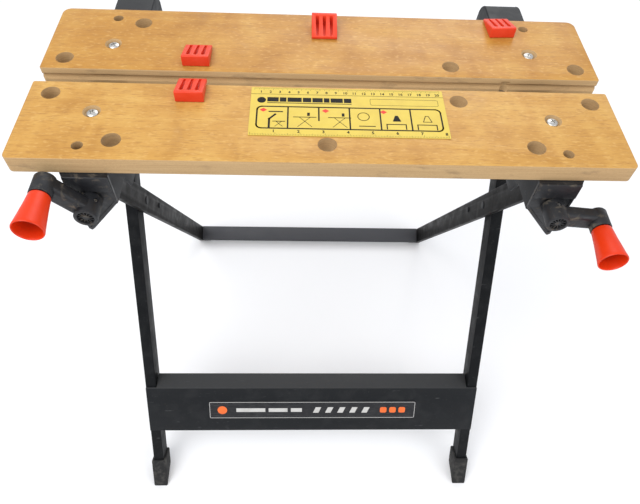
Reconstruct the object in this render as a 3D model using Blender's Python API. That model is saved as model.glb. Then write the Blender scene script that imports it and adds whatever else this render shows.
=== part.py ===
"""A folding portable workbench with two wooden vise jaws, crank-driven screws and crossed steel legs.

The model is in metres with +Z up and +X to the right. It stands on the floor, z = 0, with the middle of
its footprint at x = y = 0, the cranks to the front (-Y). Each named object is one physical piece.
"""

import math

import bmesh
import bpy
from mathutils import Matrix, Vector

# Driving dimensions
WORK_HEIGHT = 0.752  # floor to the top faces of the jaws
GAP = 0.0003  # left between pieces that touch

JAW_LENGTH = 0.624
JAW_DEPTH = 0.115
JAW_THICK = 0.019
JAW_OPENING = 0.0222  # between the jaws at rest
FRONT_JAW_REAR_Y = -0.0756
REAR_JAW_FRONT_Y = FRONT_JAW_REAR_Y + JAW_OPENING
GRIP_CORNER = 0.0025  # corner radius beside the gap
FRONT_CORNER = 0.006  # of the front jaw's outer corners
REAR_CORNER = 0.010  # of the rear jaw's outer corners
DOG_HOLE_R = 0.0098
SMALL_HOLE_R = 0.0058
COUNTERSINK = (0.0072, 0.0092, 0.0036)  # radius at the bottom and at the top, and depth
# Holes, mirrored left to right: (distance from the middle, distance in from the jaw's gripping edge)
DOG_HOLES = ((0.289, 0.0190), (0.1435, 0.0190), (0.2135, 0.0880), (0.0, 0.0890))
SMALL_HOLE = (0.2445, 0.0965)
JAW_SCREW_IN = 0.0465  # jaw screw, from the gripping edge
PIPE_GROOVE = (0.0105, 0.0040)  # the groove along the gripping edge: depth below the top, half width

VISE_X = 0.2410  # each vise screw stands this far from the middle
VISE_Z = WORK_HEIGHT - 0.0525
HOUSING_HALF = 0.0235
HOUSING_WALL = 0.0025
HOUSING_FRONT_Y = FRONT_JAW_REAR_Y - 0.1150
HOUSING_REAR_Y = FRONT_JAW_REAR_Y + 0.2050
HOUSING_TOP = WORK_HEIGHT - JAW_THICK - GAP
HOUSING_BOTTOM = WORK_HEIGHT - 0.0660
SCREW_R = 0.0070
JOURNAL_R = 0.0055

CRANK_RADIUS = 0.0475
CRANK_LEFT_ANGLE = math.radians(131.3)  # from +X towards +Z, seen from the front
CRANK_RIGHT_ANGLE = math.radians(-6.2)
HUB_R = 0.0120
BOSS_R = 0.0110
HUB_FRONT_Y = HOUSING_FRONT_Y - 0.0305
KNOB_BACK = 0.0028  # in front of the front face of the hub
KNOB_LENGTH = 0.0410
SPINDLE_LENGTH = 0.0200  # in front of the hub's front face

LEG_RISE = math.radians(57.8)  # both leg frames, from the floor
CROSS = Vector((0.0, 0.0080, 0.4635))  # the axis where the two frames cross
TOP_PIVOT_UP = 0.2405  # the top's hinge, measured up the front legs from the crossing
HOOK_UP = 0.2464  # the hook, measured up the rear arms from the crossing
LEG_OUTER_X = 0.2955
LEG_WIDTH = 0.0180
LEG_DEPTH = 0.0320
SHEET = 0.0020  # leg and step plate steel
LEG_DOWN = 0.5300
ARM_INNER_X = 0.2665
ARM_WIDTH = 0.0100
ARM_DEPTH = 0.0340
ARM_DOWN = 0.5298
BAR_THICK = 0.0120
PIVOT_R = 0.0040

STEP_TOP_DOWN = 0.3385  # top and bottom edges of the step plate, down the front legs from the crossing
STEP_BOTTOM_DOWN = 0.4306
STEP_FLANGE = 0.029

LEG_INNER_X = LEG_OUTER_X - LEG_WIDTH
ARM_OUTER_X = ARM_INNER_X + ARM_WIDTH
RISE_COS, RISE_SIN = math.cos(LEG_RISE), math.sin(LEG_RISE)
FRONT_TILT = LEG_RISE - math.pi / 2  # turns +Z onto the front legs, which lean back
REAR_TILT = math.pi / 2 - LEG_RISE
TOP_PIVOT = CROSS + TOP_PIVOT_UP * Vector((0, RISE_COS, RISE_SIN))
HOOK = CROSS + HOOK_UP * Vector((0, -RISE_COS, RISE_SIN))
SIDES = (("left", -1), ("right", 1))
ROUND = 24  # sides of a drawn circle


# Materials: colour, roughness, metallic
FINISHES = {
    "maple_veneer": ((0.76, 0.44, 0.16), 0.45, 0.0),
    "black_steel": ((0.035, 0.038, 0.042), 0.42, 0.3),
    "black_plastic": ((0.022, 0.023, 0.025), 0.5, 0.0),
    "black_rubber": ((0.018, 0.018, 0.018), 0.85, 0.0),
    "bare_steel": ((0.55, 0.55, 0.54), 0.35, 1.0),
    "orange_plastic": ((0.90, 0.06, 0.015), 0.35, 0.0),
    "yellow_label": ((0.93, 0.72, 0.14), 0.4, 0.0),
    "black_label": ((0.02, 0.02, 0.022), 0.25, 0.0),
}


def clear_scene():
    for obj in list(bpy.data.objects):
        bpy.data.objects.remove(obj, do_unlink=True)


def finish(name):
    """The material of this name, made on first use."""
    found = bpy.data.materials.get(name)
    if found:
        return found
    colour, roughness, metallic = FINISHES[name]
    made = bpy.data.materials.new(name)
    made.use_nodes = True
    shader = made.node_tree.nodes["Principled BSDF"]
    shader.inputs["Base Color"].default_value = (*colour, 1.0)
    shader.inputs["Roughness"].default_value = roughness
    shader.inputs["Metallic"].default_value = metallic
    return made


def empty(name, location, rotation=(0, 0, 0), parent=None):
    """A joint's axis, which carries the pieces of one moving body."""
    made = bpy.data.objects.new(name, None)
    made.rotation_euler = rotation
    made.location = location
    bpy.context.scene.collection.objects.link(made)
    if parent:
        made.parent = parent
        bpy.context.view_layer.update()
        made.matrix_parent_inverse = parent.matrix_world.inverted()
    bpy.context.view_layer.update()
    return made


def place(name, mesh, material=None, location=(0, 0, 0), rotation=(0, 0, 0), parent=None):
    """Turn a bmesh into a named object; location and rotation are in the world, at rest."""
    bmesh.ops.recalc_face_normals(mesh, faces=mesh.faces)
    data = bpy.data.meshes.new(name)
    mesh.to_mesh(data)
    mesh.free()
    made = bpy.data.objects.new(name, data)
    made.location = location
    made.rotation_euler = rotation
    bpy.context.scene.collection.objects.link(made)
    if material:
        data.materials.append(finish(material))
        data.shade_smooth()
        data.set_sharp_from_angle(angle=math.radians(35))
    if parent:
        made.parent = parent
        made.matrix_parent_inverse = parent.matrix_world.inverted()
    bpy.context.view_layer.update()
    return made


def combine(piece, helper, operation):
    """Cut the helper out of the piece, or join it on, with a Boolean."""
    helper.hide_render = True
    helper.display_type = "WIRE"
    boolean = piece.modifiers.new(helper.name, "BOOLEAN")
    boolean.object = helper
    boolean.operation = operation
    boolean.solver = "EXACT"


def add_box(mesh, low, high):
    low, high = Vector(low), Vector(high)
    middle = Matrix.Translation((low + high) / 2)
    size = Matrix.Diagonal((*(high - low), 1.0))
    bmesh.ops.create_cube(mesh, size=1.0, matrix=middle @ size)


def add_prism(mesh, outline, axis, low, high):
    """Extrude a flat outline along X, Y or Z. The outline's pairs are the other two axes, in order."""

    def corner(pair, along):
        values = list(pair)
        values.insert("XYZ".index(axis), along)
        return mesh.verts.new(values)

    base = mesh.faces.new([corner(pair, low) for pair in outline])
    raised = bmesh.ops.extrude_face_region(mesh, geom=[base])
    step = Vector([high - low if letter == axis else 0.0 for letter in "XYZ"])
    moved = [item for item in raised["geom"] if isinstance(item, bmesh.types.BMVert)]
    bmesh.ops.translate(mesh, verts=moved, vec=step)


def add_rod(mesh, radius, start, end, sides=ROUND, end_radius=None):
    """A straight round bar, or a cone where end_radius differs."""
    start, end = Vector(start), Vector(end)
    turn = Vector((0, 0, 1)).rotation_difference(end - start).to_matrix().to_4x4()
    bmesh.ops.create_cone(
        mesh, cap_ends=True, segments=sides, radius1=radius,
        radius2=radius if end_radius is None else end_radius,
        depth=(end - start).length, matrix=Matrix.Translation((start + end) / 2) @ turn,
    )


def add_turned(mesh, profile, sides=ROUND):
    """Spin a closed profile of (radius, distance along +Y) pairs about Y."""
    points = [mesh.verts.new((radius, along, 0.0)) for radius, along in profile]
    edges = [mesh.edges.new((points[i - 1], points[i])) for i in range(len(points))]
    bmesh.ops.spin(
        mesh, geom=points + edges, cent=(0, 0, 0), axis=(0, 1, 0), angle=math.tau,
        steps=sides, use_duplicate=False,
    )
    bmesh.ops.remove_doubles(mesh, verts=mesh.verts, dist=1e-6)


def arc(centre, radius, start, end, steps):
    """Points on an arc, angles in degrees."""
    turns = [math.radians(start + (end - start) * i / steps) for i in range(steps + 1)]
    return [(centre[0] + radius * math.cos(t), centre[1] + radius * math.sin(t)) for t in turns]


def rounded_rectangle(low, high, radius, steps=4, low_radius=None):
    """A rectangle with round corners. The two at the lower y may have a radius of their own."""
    (x0, y0), (x1, y1) = low, high
    near = radius if low_radius is None else low_radius
    corners = (
        (x1 - radius, y1 - radius, radius), (x0 + radius, y1 - radius, radius),
        (x0 + near, y0 + near, near), (x1 - near, y0 + near, near),
    )
    return [p for i, (x, y, r) in enumerate(corners) for p in arc((x, y), r, 90 * i, 90 * i + 90, steps)]


def cut(name, piece, fill):
    """Make a cutter from what fill() adds to a bmesh, and cut it from the piece in the piece's own frame."""
    mesh = bmesh.new()
    fill(mesh)
    helper = place(name, mesh, location=piece.matrix_world.translation,
                   rotation=piece.matrix_world.to_euler())
    combine(piece, helper, "DIFFERENCE")


def join(name, piece, fill):
    """As cut, but joins the shape to the piece."""
    mesh = bmesh.new()
    fill(mesh)
    helper = place(name, mesh, location=piece.matrix_world.translation,
                   rotation=piece.matrix_world.to_euler())
    combine(piece, helper, "UNION")


# The worktop


def jaw(name, grip_y, outward, corner, parent, notch_x=None):
    """One vise jaw: a veneered board with dog holes, countersunk screw holes and a pipe groove.

    grip_y is the gripping edge, and outward the direction away from the gap, -1 or 1.
    """
    half = JAW_LENGTH / 2
    far = outward * JAW_DEPTH
    low, high = (-half, min(0, far)), (half, max(0, far))
    radii = (GRIP_CORNER, corner) if outward < 0 else (corner, GRIP_CORNER)
    mesh = bmesh.new()
    add_prism(mesh, rounded_rectangle(low, high, radii[0], 4, radii[1]), "Z", -JAW_THICK, 0)
    board = place(name, mesh, "maple_veneer", (0, grip_y, WORK_HEIGHT), parent=parent)

    def holes(cutter):
        for x, inward in DOG_HOLES:
            for side in {-x, x}:
                at = (side, outward * inward)
                add_rod(cutter, DOG_HOLE_R, (*at, -JAW_THICK - 0.004), (*at, 0.004))
        for side in (-1, 1):
            at = (side * SMALL_HOLE[0], outward * SMALL_HOLE[1])
            add_rod(cutter, SMALL_HOLE_R, (*at, -JAW_THICK - 0.004), (*at, 0.004), 16)
            at = (side * VISE_X, outward * JAW_SCREW_IN)
            bottom, top, depth = COUNTERSINK
            add_rod(cutter, bottom, (*at, -depth), (*at, depth), end_radius=2 * top - bottom)

    def screw_holes(cutter):
        for side in (-1, 1):
            at = (side * VISE_X, outward * JAW_SCREW_IN)
            add_rod(cutter, 0.0034, (*at, -JAW_THICK - 0.004), (*at, -0.002), 16)

    def groove(cutter):
        depth, wide = PIPE_GROOVE
        past = -outward * wide
        outline = [(outward * wide, -depth), (past, -depth - 2 * wide), (past, -depth + 2 * wide)]
        add_prism(cutter, outline, "X", -half - 0.01, half + 0.01)

    def notch(cutter):
        past = -outward * 0.004
        outline = [(notch_x - 0.007, past), (notch_x, outward * 0.003), (notch_x + 0.007, past)]
        add_prism(cutter, outline, "Z", -JAW_THICK - 0.004, -0.004)

    cut(name + "_holes", board, holes)
    cut(name + "_screw_holes", board, screw_holes)
    cut(name + "_groove", board, groove)
    if notch_x is not None:
        cut(name + "_notch", board, notch)
    return board


def jaw_screw(name, x, y, parent):
    """The machine screw that holds a jaw down, sunk in its countersink."""
    mesh = bmesh.new()
    seat = WORK_HEIGHT - COUNTERSINK[2] + GAP
    add_rod(mesh, 0.0030, (0, 0, -0.0334), (0, 0, 0.0010), 16)
    screw = place(name, mesh, "bare_steel", (x, y, seat), parent=parent)

    def head(shape):
        profile = [(0.0, 0.0), (0.0062, 0.0), (0.0062, 0.0008), (0.0048, 0.0024), (0.0, 0.0029)]
        turned = bmesh.new()
        add_turned(turned, profile)
        turned.transform(Matrix.Rotation(math.pi / 2, 4, "X"))
        data = bpy.data.meshes.new(name + "_head")
        turned.to_mesh(data)
        turned.free()
        shape.from_mesh(data)

    join(name + "_head", screw, head)
    cut(name + "_slot_a", screw, lambda c: add_box(c, (-0.0030, -0.0006, 0.0014), (0.0030, 0.0006, 0.0060)))
    cut(name + "_slot_b", screw, lambda c: add_box(c, (-0.0006, -0.0030, 0.0014), (0.0006, 0.0030, 0.0060)))
    return screw


def ruler_label(parent):
    """The printed scale on the front jaw."""
    mesh = bmesh.new()
    add_box(mesh, (0, 0, 0), (0.2069, 0.0748, 0.0004))
    return place("ruler_label", mesh, "yellow_label",
                 (-0.0800, FRONT_JAW_REAR_Y - 0.0780, WORK_HEIGHT + GAP), parent=parent)


# The vise


def housing(side_name, side, parent):
    """One pressed channel, open below, that carries the jaws, the vise screw and both leg frames."""
    pivot = (TOP_PIVOT.y, TOP_PIVOT.z)
    outline = [
        (HOUSING_FRONT_Y, HOUSING_TOP), (HOUSING_FRONT_Y, HOUSING_BOTTOM),
        (HOOK.y - 0.030, HOUSING_BOTTOM), (HOOK.y - 0.016, HOOK.z - 0.013),
        (HOOK.y + 0.016, HOOK.z - 0.013), (HOOK.y + 0.030, HOUSING_BOTTOM),
        (pivot[0] - 0.036, HOUSING_BOTTOM), *arc(pivot, 0.017, 230, 370, 8),
        *arc((HOUSING_REAR_Y - 0.012, HOUSING_TOP - 0.030), 0.030, 20, 90, 4),
    ]
    mesh = bmesh.new()
    add_prism(mesh, outline, "X", -HOUSING_HALF, HOUSING_HALF)
    made = place(f"housing_{side_name}", mesh, "black_steel", (side * VISE_X, 0, 0), parent=parent)

    def inside(cutter):
        room = HOUSING_HALF - HOUSING_WALL
        add_box(cutter, (-room, HOUSING_FRONT_Y - 0.01, HOUSING_BOTTOM - 0.06),
                (room, HOUSING_REAR_Y + 0.04, HOUSING_TOP - HOUSING_WALL))

    def openings(cutter):
        top = HOUSING_TOP + 0.01
        under = HOUSING_TOP - HOUSING_WALL - 0.004
        slot = rounded_rectangle((-0.0052, FRONT_JAW_REAR_Y + 0.0350),
                                 (0.0052, FRONT_JAW_REAR_Y + 0.1680), 0.0050)
        add_prism(cutter, slot, "Z", under, top)
        at = (0, FRONT_JAW_REAR_Y - JAW_SCREW_IN)
        add_rod(cutter, 0.0034, (*at, under), (*at, top), 16)
        add_rod(cutter, PIVOT_R + GAP, (-0.04, *pivot), (0.04, *pivot), 16)
        ahead = side * (HOUSING_HALF - HOUSING_WALL - 0.004), side * (HOUSING_HALF + 0.01)
        add_rod(cutter, PIVOT_R + GAP, (ahead[0], HOOK.y, HOOK.z), (ahead[1], HOOK.y, HOOK.z), 16)

    cut(f"housing_{side_name}_inside", made, inside)
    cut(f"housing_{side_name}_openings", made, openings)
    return made


def front_plate(side_name, side, parent):
    """The cast end plate: a thick strip under the jaw, and a lower edge that slants to a point outside."""
    drop, front = WORK_HEIGHT, HOUSING_FRONT_Y
    inner, outer = -side * 0.0250, side * 0.0205
    outline = [
        (inner, drop - 0.0195), (outer, drop - 0.0195), (outer, drop - 0.0480),
        (side * 0.0165, drop - 0.1025), (side * 0.0135, drop - 0.1050), (side * 0.0098, drop - 0.1015),
        (inner, drop - 0.0590),
    ]
    mesh = bmesh.new()
    add_prism(mesh, outline, "Y", front - 0.0035, front - 0.0005)
    made = place(f"front_plate_{side_name}", mesh, "black_steel", (side * VISE_X, 0, 0), parent=parent)
    low, high = sorted((inner + side * 0.0005, outer - side * 0.0005))
    join(f"front_plate_{side_name}_strip", made,
         lambda j: add_box(j, (low, front - 0.0060, drop - 0.0405), (high, front - 0.0020, drop - 0.0200)))
    cut(f"front_plate_{side_name}_bore", made,
        lambda c: add_rod(c, 0.0093, (0, front - 0.01, VISE_Z), (0, front + 0.01, VISE_Z)))
    return made


def front_bush(side_name, side, parent):
    """The flanged bush in the front plate that the vise screw turns in."""
    back = HOUSING_FRONT_Y
    profile = [
        (JOURNAL_R + GAP, -0.0036), (0.0090, -0.0036), (0.0090, 0.0002), (0.0120, 0.0002),
        (0.0120, 0.0022), (JOURNAL_R + GAP, 0.0022),
    ]
    mesh = bmesh.new()
    add_turned(mesh, profile)
    return place(f"front_bush_{side_name}", mesh, "black_plastic", (side * VISE_X, back, VISE_Z),
                 parent=parent)


def rear_cap(side_name, side, parent):
    """The moulded cap in the housing's rear end, with the bearing for the screw's tail."""
    room = HOUSING_HALF - HOUSING_WALL - GAP
    outline = rounded_rectangle((-room, HOUSING_BOTTOM + 0.001),
                                (room, HOUSING_TOP - HOUSING_WALL - 0.001), 0.003, 3)
    mesh = bmesh.new()
    add_prism(mesh, outline, "Y", HOUSING_REAR_Y - 0.0110, HOUSING_REAR_Y - 0.0020)
    made = place(f"rear_cap_{side_name}", mesh, "black_plastic", (side * VISE_X, 0, 0), parent=parent)
    cut(f"rear_cap_{side_name}_bore", made,
        lambda c: add_rod(c, 0.0053, (0, HOUSING_REAR_Y - 0.02, VISE_Z),
                          (0, HOUSING_REAR_Y + 0.01, VISE_Z), 16))
    return made


def vise_screw(side_name, side, angle, parent):
    """The long vise screw: front journal, thrust collar, threaded length and tail."""
    front, rear = HOUSING_FRONT_Y, HOUSING_REAR_Y
    profile = [
        (0.0, front - 0.0250), (JOURNAL_R, front - 0.0250), (JOURNAL_R, front + 0.0026),
        (0.0095, front + 0.0026), (0.0095, front + 0.0070), (SCREW_R, front + 0.0070),
        (SCREW_R, rear - 0.0115), (0.0050, rear - 0.0115), (0.0050, rear - 0.0030), (0.0, rear - 0.0030),
    ]
    mesh = bmesh.new()
    add_turned(mesh, profile)
    made = place(f"vise_screw_{side_name}", mesh, "bare_steel", (side * VISE_X, 0, VISE_Z),
                 rotation=(0, -angle, 0), parent=parent)
    cut(f"vise_screw_{side_name}_pin_hole", made,
        lambda c: add_rod(c, 0.0022, (0, front - 0.0125, -0.02), (0, front - 0.0125, 0.02), 12))
    return made


def jaw_carrier(side_name, side, parent):
    """The nut that runs on the vise screw and carries the rear jaw through the slot."""
    y = REAR_JAW_FRONT_Y + JAW_SCREW_IN
    block_top = HOUSING_TOP - HOUSING_WALL - 0.0005 - VISE_Z
    mesh = bmesh.new()
    add_box(mesh, (-0.0190, -0.0150, -0.0125), (0.0190, 0.0150, block_top))
    made = place(f"jaw_carrier_{side_name}", mesh, "black_plastic", (side * VISE_X, y, VISE_Z),
                 parent=parent)
    join(f"jaw_carrier_{side_name}_neck", made,
         lambda j: add_box(j, (-0.0045, -0.0090, 0.010), (0.0045, 0.0090, HOUSING_TOP - GAP - VISE_Z)))
    cut(f"jaw_carrier_{side_name}_bore", made,
        lambda c: add_rod(c, SCREW_R + 0.0004, (0, -0.03, 0), (0, 0.03, 0)))
    cut(f"jaw_carrier_{side_name}_screw_hole", made,
        lambda c: add_rod(c, 0.0033, (0, 0, 0.0130), (0, 0, 0.0600), 16))
    return made


def crank(side_name, side, angle, parent):
    """The cast crank: a hub on the screw's journal, an arm, and the spindle that the knob turns on."""
    mesh = bmesh.new()
    hub_back = HOUSING_FRONT_Y - 0.0042 - HUB_FRONT_Y
    profile = [
        (0.0, 0.0), (HUB_R - 0.0015, 0.0), (HUB_R, 0.0015), (HUB_R, hub_back - 0.001),
        (HUB_R - 0.001, hub_back), (0.0, hub_back),
    ]
    add_turned(mesh, profile)
    made = place(f"crank_{side_name}", mesh, "black_plastic", (side * VISE_X, HUB_FRONT_Y, VISE_Z),
                 rotation=(0, -angle, 0), parent=parent)

    def arm(shape):
        outline = [*arc((0, 0), 0.0100, 90, 270, 6), *arc((CRANK_RADIUS, 0), 0.0098, -90, 90, 8)]
        add_prism(shape, outline, "Y", 0.0030, 0.0203)

    def boss(shape):
        add_rod(shape, BOSS_R, (CRANK_RADIUS, -KNOB_BACK + 0.0004, 0), (CRANK_RADIUS, 0.0210, 0))

    def spindle(shape):
        add_rod(shape, 0.0040, (CRANK_RADIUS, 0.0100, 0), (CRANK_RADIUS, -SPINDLE_LENGTH, 0), 16)

    join(f"crank_{side_name}_arm", made, arm)
    join(f"crank_{side_name}_boss", made, boss)
    join(f"crank_{side_name}_spindle", made, spindle)
    cut(f"crank_{side_name}_bore", made,
        lambda c: add_rod(c, JOURNAL_R + GAP, (0, 0.0050, 0), (0, 0.0500, 0)))
    cut(f"crank_{side_name}_pin_hole", made,
        lambda c: add_rod(c, 0.0022, (0, 0.0180, -0.03), (0, 0.0180, 0.03), 12))
    cut(f"crank_{side_name}_screw_hole", made,
        lambda c: add_rod(c, 0.0022, (CRANK_RADIUS, -0.06, 0), (CRANK_RADIUS, -0.0088, 0), 12))
    return made


def crank_pin(side_name, side, angle, parent):
    """The cross pin that holds the crank on the screw."""
    mesh = bmesh.new()
    add_rod(mesh, 0.0019, (0, 0.0180, -0.0112), (0, 0.0180, 0.0112), 12)
    return place(f"crank_pin_{side_name}", mesh, "bare_steel", (side * VISE_X, HUB_FRONT_Y, VISE_Z),
                 rotation=(0, -angle, 0), parent=parent)


def knob(side_name, axis_x, axis_z, parent):
    """The hollow tapered knob, open at its wide front end."""
    length, sleeve = KNOB_LENGTH, SPINDLE_LENGTH - KNOB_BACK - 0.0005
    profile = [
        (0.0044, 0.0), (0.0092, 0.0), (0.0105, -0.0014), (0.0118, -0.014), (0.0150, -length + 0.001),
        (0.0147, -length), (0.0136, -length), (0.0133, -length + 0.001), (0.0100, -0.014),
        (0.0086, -0.0035), (0.0072, -0.0035), (0.0068, -sleeve), (0.0044, -sleeve),
    ]
    mesh = bmesh.new()
    add_turned(mesh, profile)
    at = (axis_x, HUB_FRONT_Y - KNOB_BACK, axis_z)
    return place(f"knob_{side_name}", mesh, "orange_plastic", at, parent=parent)


def knob_screw(side_name, axis_x, axis_z, parent):
    """The washer-headed screw that keeps the knob on its spindle."""
    profile = [
        (0.0, 0.0110), (0.0018, 0.0110), (0.0018, 0.0), (0.0066, 0.0), (0.0066, -0.0012),
        (0.0042, -0.0018), (0.0036, -0.0034), (0.0, -0.0036),
    ]
    mesh = bmesh.new()
    add_turned(mesh, profile, 16)
    y = HUB_FRONT_Y - SPINDLE_LENGTH - 0.0004
    return place(f"knob_screw_{side_name}", mesh, "bare_steel", (axis_x, y, axis_z), parent=parent)


# The pegs


def peg(name, x, y, turn, parent):
    """A swivel peg: a block with a tall gripping face and three slots down its slope, on a round stem."""
    wide, face, back = 0.0150, -0.0108, 0.0242
    outline = [(face, 0.0004), (back, 0.0004), (back, 0.0037), (face + 0.0030, 0.0128), (face, 0.0128)]
    mesh = bmesh.new()
    add_prism(mesh, outline, "X", -wide, wide)
    made = place(name, mesh, "orange_plastic", (x, y, WORK_HEIGHT), rotation=(0, 0, turn), parent=parent)

    def stem(shape):
        add_rod(shape, DOG_HOLE_R - 0.0007, (0, 0, -0.0165), (0, 0, 0.0018))

    def slots(shape):
        for middle in (-0.0082, 0.0, 0.0082):
            sides = [(middle - 0.0021, -0.0055), (middle + 0.0021, -0.0055), (middle + 0.0013, 0.0225),
                     (middle - 0.0013, 0.0225)]
            add_prism(shape, sides, "Z", 0.0022, 0.0300)

    join(name + "_stem", made, stem)
    cut(name + "_slots", made, slots)
    return made


# The leg frames. A leg's own frame has +Z up the leg and the crossing at its origin.


def front_leg(side_name, side, parent):
    """One front leg: a channel open at the back, with a solid rounded top for its hinge."""
    half = LEG_DEPTH / 2
    outline = [(-half, -LEG_DOWN), (half, -LEG_DOWN), *arc((0, TOP_PIVOT_UP), half, 0, 180, 8)]
    low, high = sorted((side * LEG_INNER_X, side * LEG_OUTER_X))
    mesh = bmesh.new()
    add_prism(mesh, outline, "X", low, high)
    made = place(f"front_leg_{side_name}", mesh, "black_steel", CROSS, (FRONT_TILT, 0, 0), parent)
    cut(f"front_leg_{side_name}_channel", made,
        lambda c: add_box(c, (low + SHEET, -half + SHEET, -LEG_DOWN + 0.012),
                          (high - SHEET, half + 0.01, TOP_PIVOT_UP - 0.022)))

    def pins(cutter):
        for up in (0.0, TOP_PIVOT_UP):
            add_rod(cutter, PIVOT_R + GAP, (low - 0.01, 0, up), (high + 0.01, 0, up), 16)

    cut(f"front_leg_{side_name}_pin_holes", made, pins)
    return made


def front_foot(side_name, side, parent):
    """The rubber boot on a front leg, cut level with the floor."""
    half = LEG_DEPTH / 2 + 0.0035
    middle = side * (LEG_OUTER_X - LEG_WIDTH / 2)
    top = -LEG_DOWN + 0.030

    def floor_at(y):
        return -(CROSS.z - y * RISE_COS) / RISE_SIN

    outline = [(-half, top), (half, top), (half, floor_at(half)), (-half, floor_at(-half))]
    mesh = bmesh.new()
    add_prism(mesh, outline, "X", middle - 0.0125, middle + 0.0125)
    made = place(f"front_foot_{side_name}", mesh, "black_rubber", CROSS, (FRONT_TILT, 0, 0), parent)
    room_x, room_y = LEG_WIDTH / 2 + GAP, LEG_DEPTH / 2 + GAP
    cut(f"front_foot_{side_name}_socket", made,
        lambda c: add_box(c, (middle - room_x, -room_y, -LEG_DOWN - GAP),
                          (middle + room_x, room_y, top + 0.02)))
    return made


def step_plate(parent):
    """The wide step over the legs, with a level flange and lip behind its top and a flange at its foot."""
    front = -LEG_DEPTH / 2 - GAP - SHEET
    outer = LEG_OUTER_X
    level = Vector((RISE_SIN, RISE_COS))  # straight back, in the leg's own (y, z)
    down = Vector((RISE_COS, -RISE_SIN))
    top = Vector((front, -STEP_TOP_DOWN))
    lip = top + STEP_FLANGE * level
    bottom = -STEP_BOTTOM_DOWN
    corner = top + 0.0025 * level - Vector((0.0, SHEET))
    outline = [
        (front, bottom), tuple(top), tuple(lip), tuple(lip + 0.011 * down),
        tuple(lip + 0.011 * down - SHEET * level), tuple(lip + SHEET * down - SHEET * level),
        (front + SHEET, corner.y), (front + SHEET, bottom + SHEET), (front + 0.0150, bottom + SHEET),
        (front + 0.0150, bottom),
    ]
    mesh = bmesh.new()
    add_prism(mesh, outline, "X", -outer, outer)
    made = place("step_plate", mesh, "black_steel", CROSS, (FRONT_TILT, 0, 0), parent)

    def leg_room(cutter):
        for side in (-1, 1):
            low, high = sorted((side * (LEG_INNER_X - 0.0006), side * (outer + 0.01)))
            add_box(cutter, (low, front + SHEET - 0.0001, bottom - 0.02),
                    (high, front + 0.08, -STEP_TOP_DOWN + 0.04))

    cut("step_plate_leg_room", made, leg_room)
    return made


def step_badge(parent):
    """The plain dark panel stuck on the step plate."""
    face = -LEG_DEPTH / 2 - 2 * GAP - SHEET
    mesh = bmesh.new()
    outline = rounded_rectangle((-0.1870, -0.4036), (0.1870, -0.3663), 0.0030, 3)
    add_prism(mesh, outline, "Y", face - 0.0005, face)
    return place("step_badge", mesh, "black_label", CROSS, (FRONT_TILT, 0, 0), parent)


def rear_arm(side_name, side, parent):
    """One rear arm: a channel open on its outer side, forked at the top to hook on the housing's stud."""
    half = ARM_DEPTH / 2
    end = HOOK_UP + 0.0170
    low, high = sorted((side * ARM_INNER_X, side * ARM_OUTER_X))
    outline = [(-half, -ARM_DOWN), (half, -ARM_DOWN), (half, end - 0.006), (half - 0.006, end),
               (-half + 0.006, end), (-half, end - 0.006)]
    mesh = bmesh.new()
    add_prism(mesh, outline, "X", low, high)
    made = place(f"rear_arm_{side_name}", mesh, "black_steel", CROSS, (REAR_TILT, 0, 0), parent)
    web = side * (ARM_INNER_X + SHEET), side * (ARM_OUTER_X + 0.01)
    cut(f"rear_arm_{side_name}_channel", made,
        lambda c: add_box(c, (min(web), -half + SHEET, -ARM_DOWN + 0.016),
                          (max(web), half - SHEET, HOOK_UP - 0.030)))

    def fork(cutter):
        wide = PIVOT_R + 0.0006
        outline = [*arc((0, HOOK_UP), wide, 180, 360, 8), (wide + 0.0035, end + 0.004), (-wide, end + 0.004)]
        add_prism(cutter, outline, "X", low - 0.01, high + 0.01)

    def pins(cutter):
        for up, y, radius in ((0.0, 0.0, PIVOT_R + GAP), (-0.080, 0.004, 0.0033)):
            add_rod(cutter, radius, (low - 0.01, y, up), (high + 0.01, y, up), 16)

    cut(f"rear_arm_{side_name}_fork", made, fork)
    cut(f"rear_arm_{side_name}_pin_holes", made, pins)
    return made


def rear_bar(parent):
    """The channel that joins the rear arms at the floor."""
    half = ARM_DEPTH / 2
    reach = ARM_INNER_X - GAP
    bottom = -ARM_DOWN
    mesh = bmesh.new()
    add_box(mesh, (-reach, -half, bottom), (reach, half, bottom + BAR_THICK))
    made = place("rear_bar", mesh, "black_steel", CROSS, (REAR_TILT, 0, 0), parent)
    cut("rear_bar_channel", made,
        lambda c: add_box(c, (-reach + 0.012, -half + SHEET, bottom - 0.01),
                          (reach - 0.012, half - SHEET, bottom + BAR_THICK - SHEET)))
    return made


def rear_foot(side_name, side, parent):
    """The rubber pad under one end of the rear bar, cut level with the floor."""
    half = ARM_DEPTH / 2
    top = -ARM_DOWN - GAP

    def floor_at(y):
        return -(CROSS.z + y * RISE_COS) / RISE_SIN

    outline = [(-half, top), (0.006, top), (0.006, floor_at(0.006)), (-half, floor_at(-half))]
    low, high = sorted((side * 0.2480, side * ARM_OUTER_X))
    mesh = bmesh.new()
    add_prism(mesh, outline, "X", low, high)
    return place(f"rear_foot_{side_name}", mesh, "black_rubber", CROSS, (REAR_TILT, 0, 0), parent)


def pin(name, spans, centre, side, material, parent):
    """A pin, bolt or rivet along X: spans are (radius, from, to) along the side's outward direction."""
    low = spans[0][1]
    profile = [(0.0, low)]
    for radius, start, end in spans:
        profile += [(radius, start), (radius, end)]
    profile.append((0.0, spans[-1][2]))
    mesh = bmesh.new()
    add_turned(mesh, profile, 16)
    mesh.transform(Matrix.Rotation(-side * math.pi / 2, 4, "Z"))
    return place(name, mesh, material, (0, centre[1], centre[2]), parent=parent)


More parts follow.
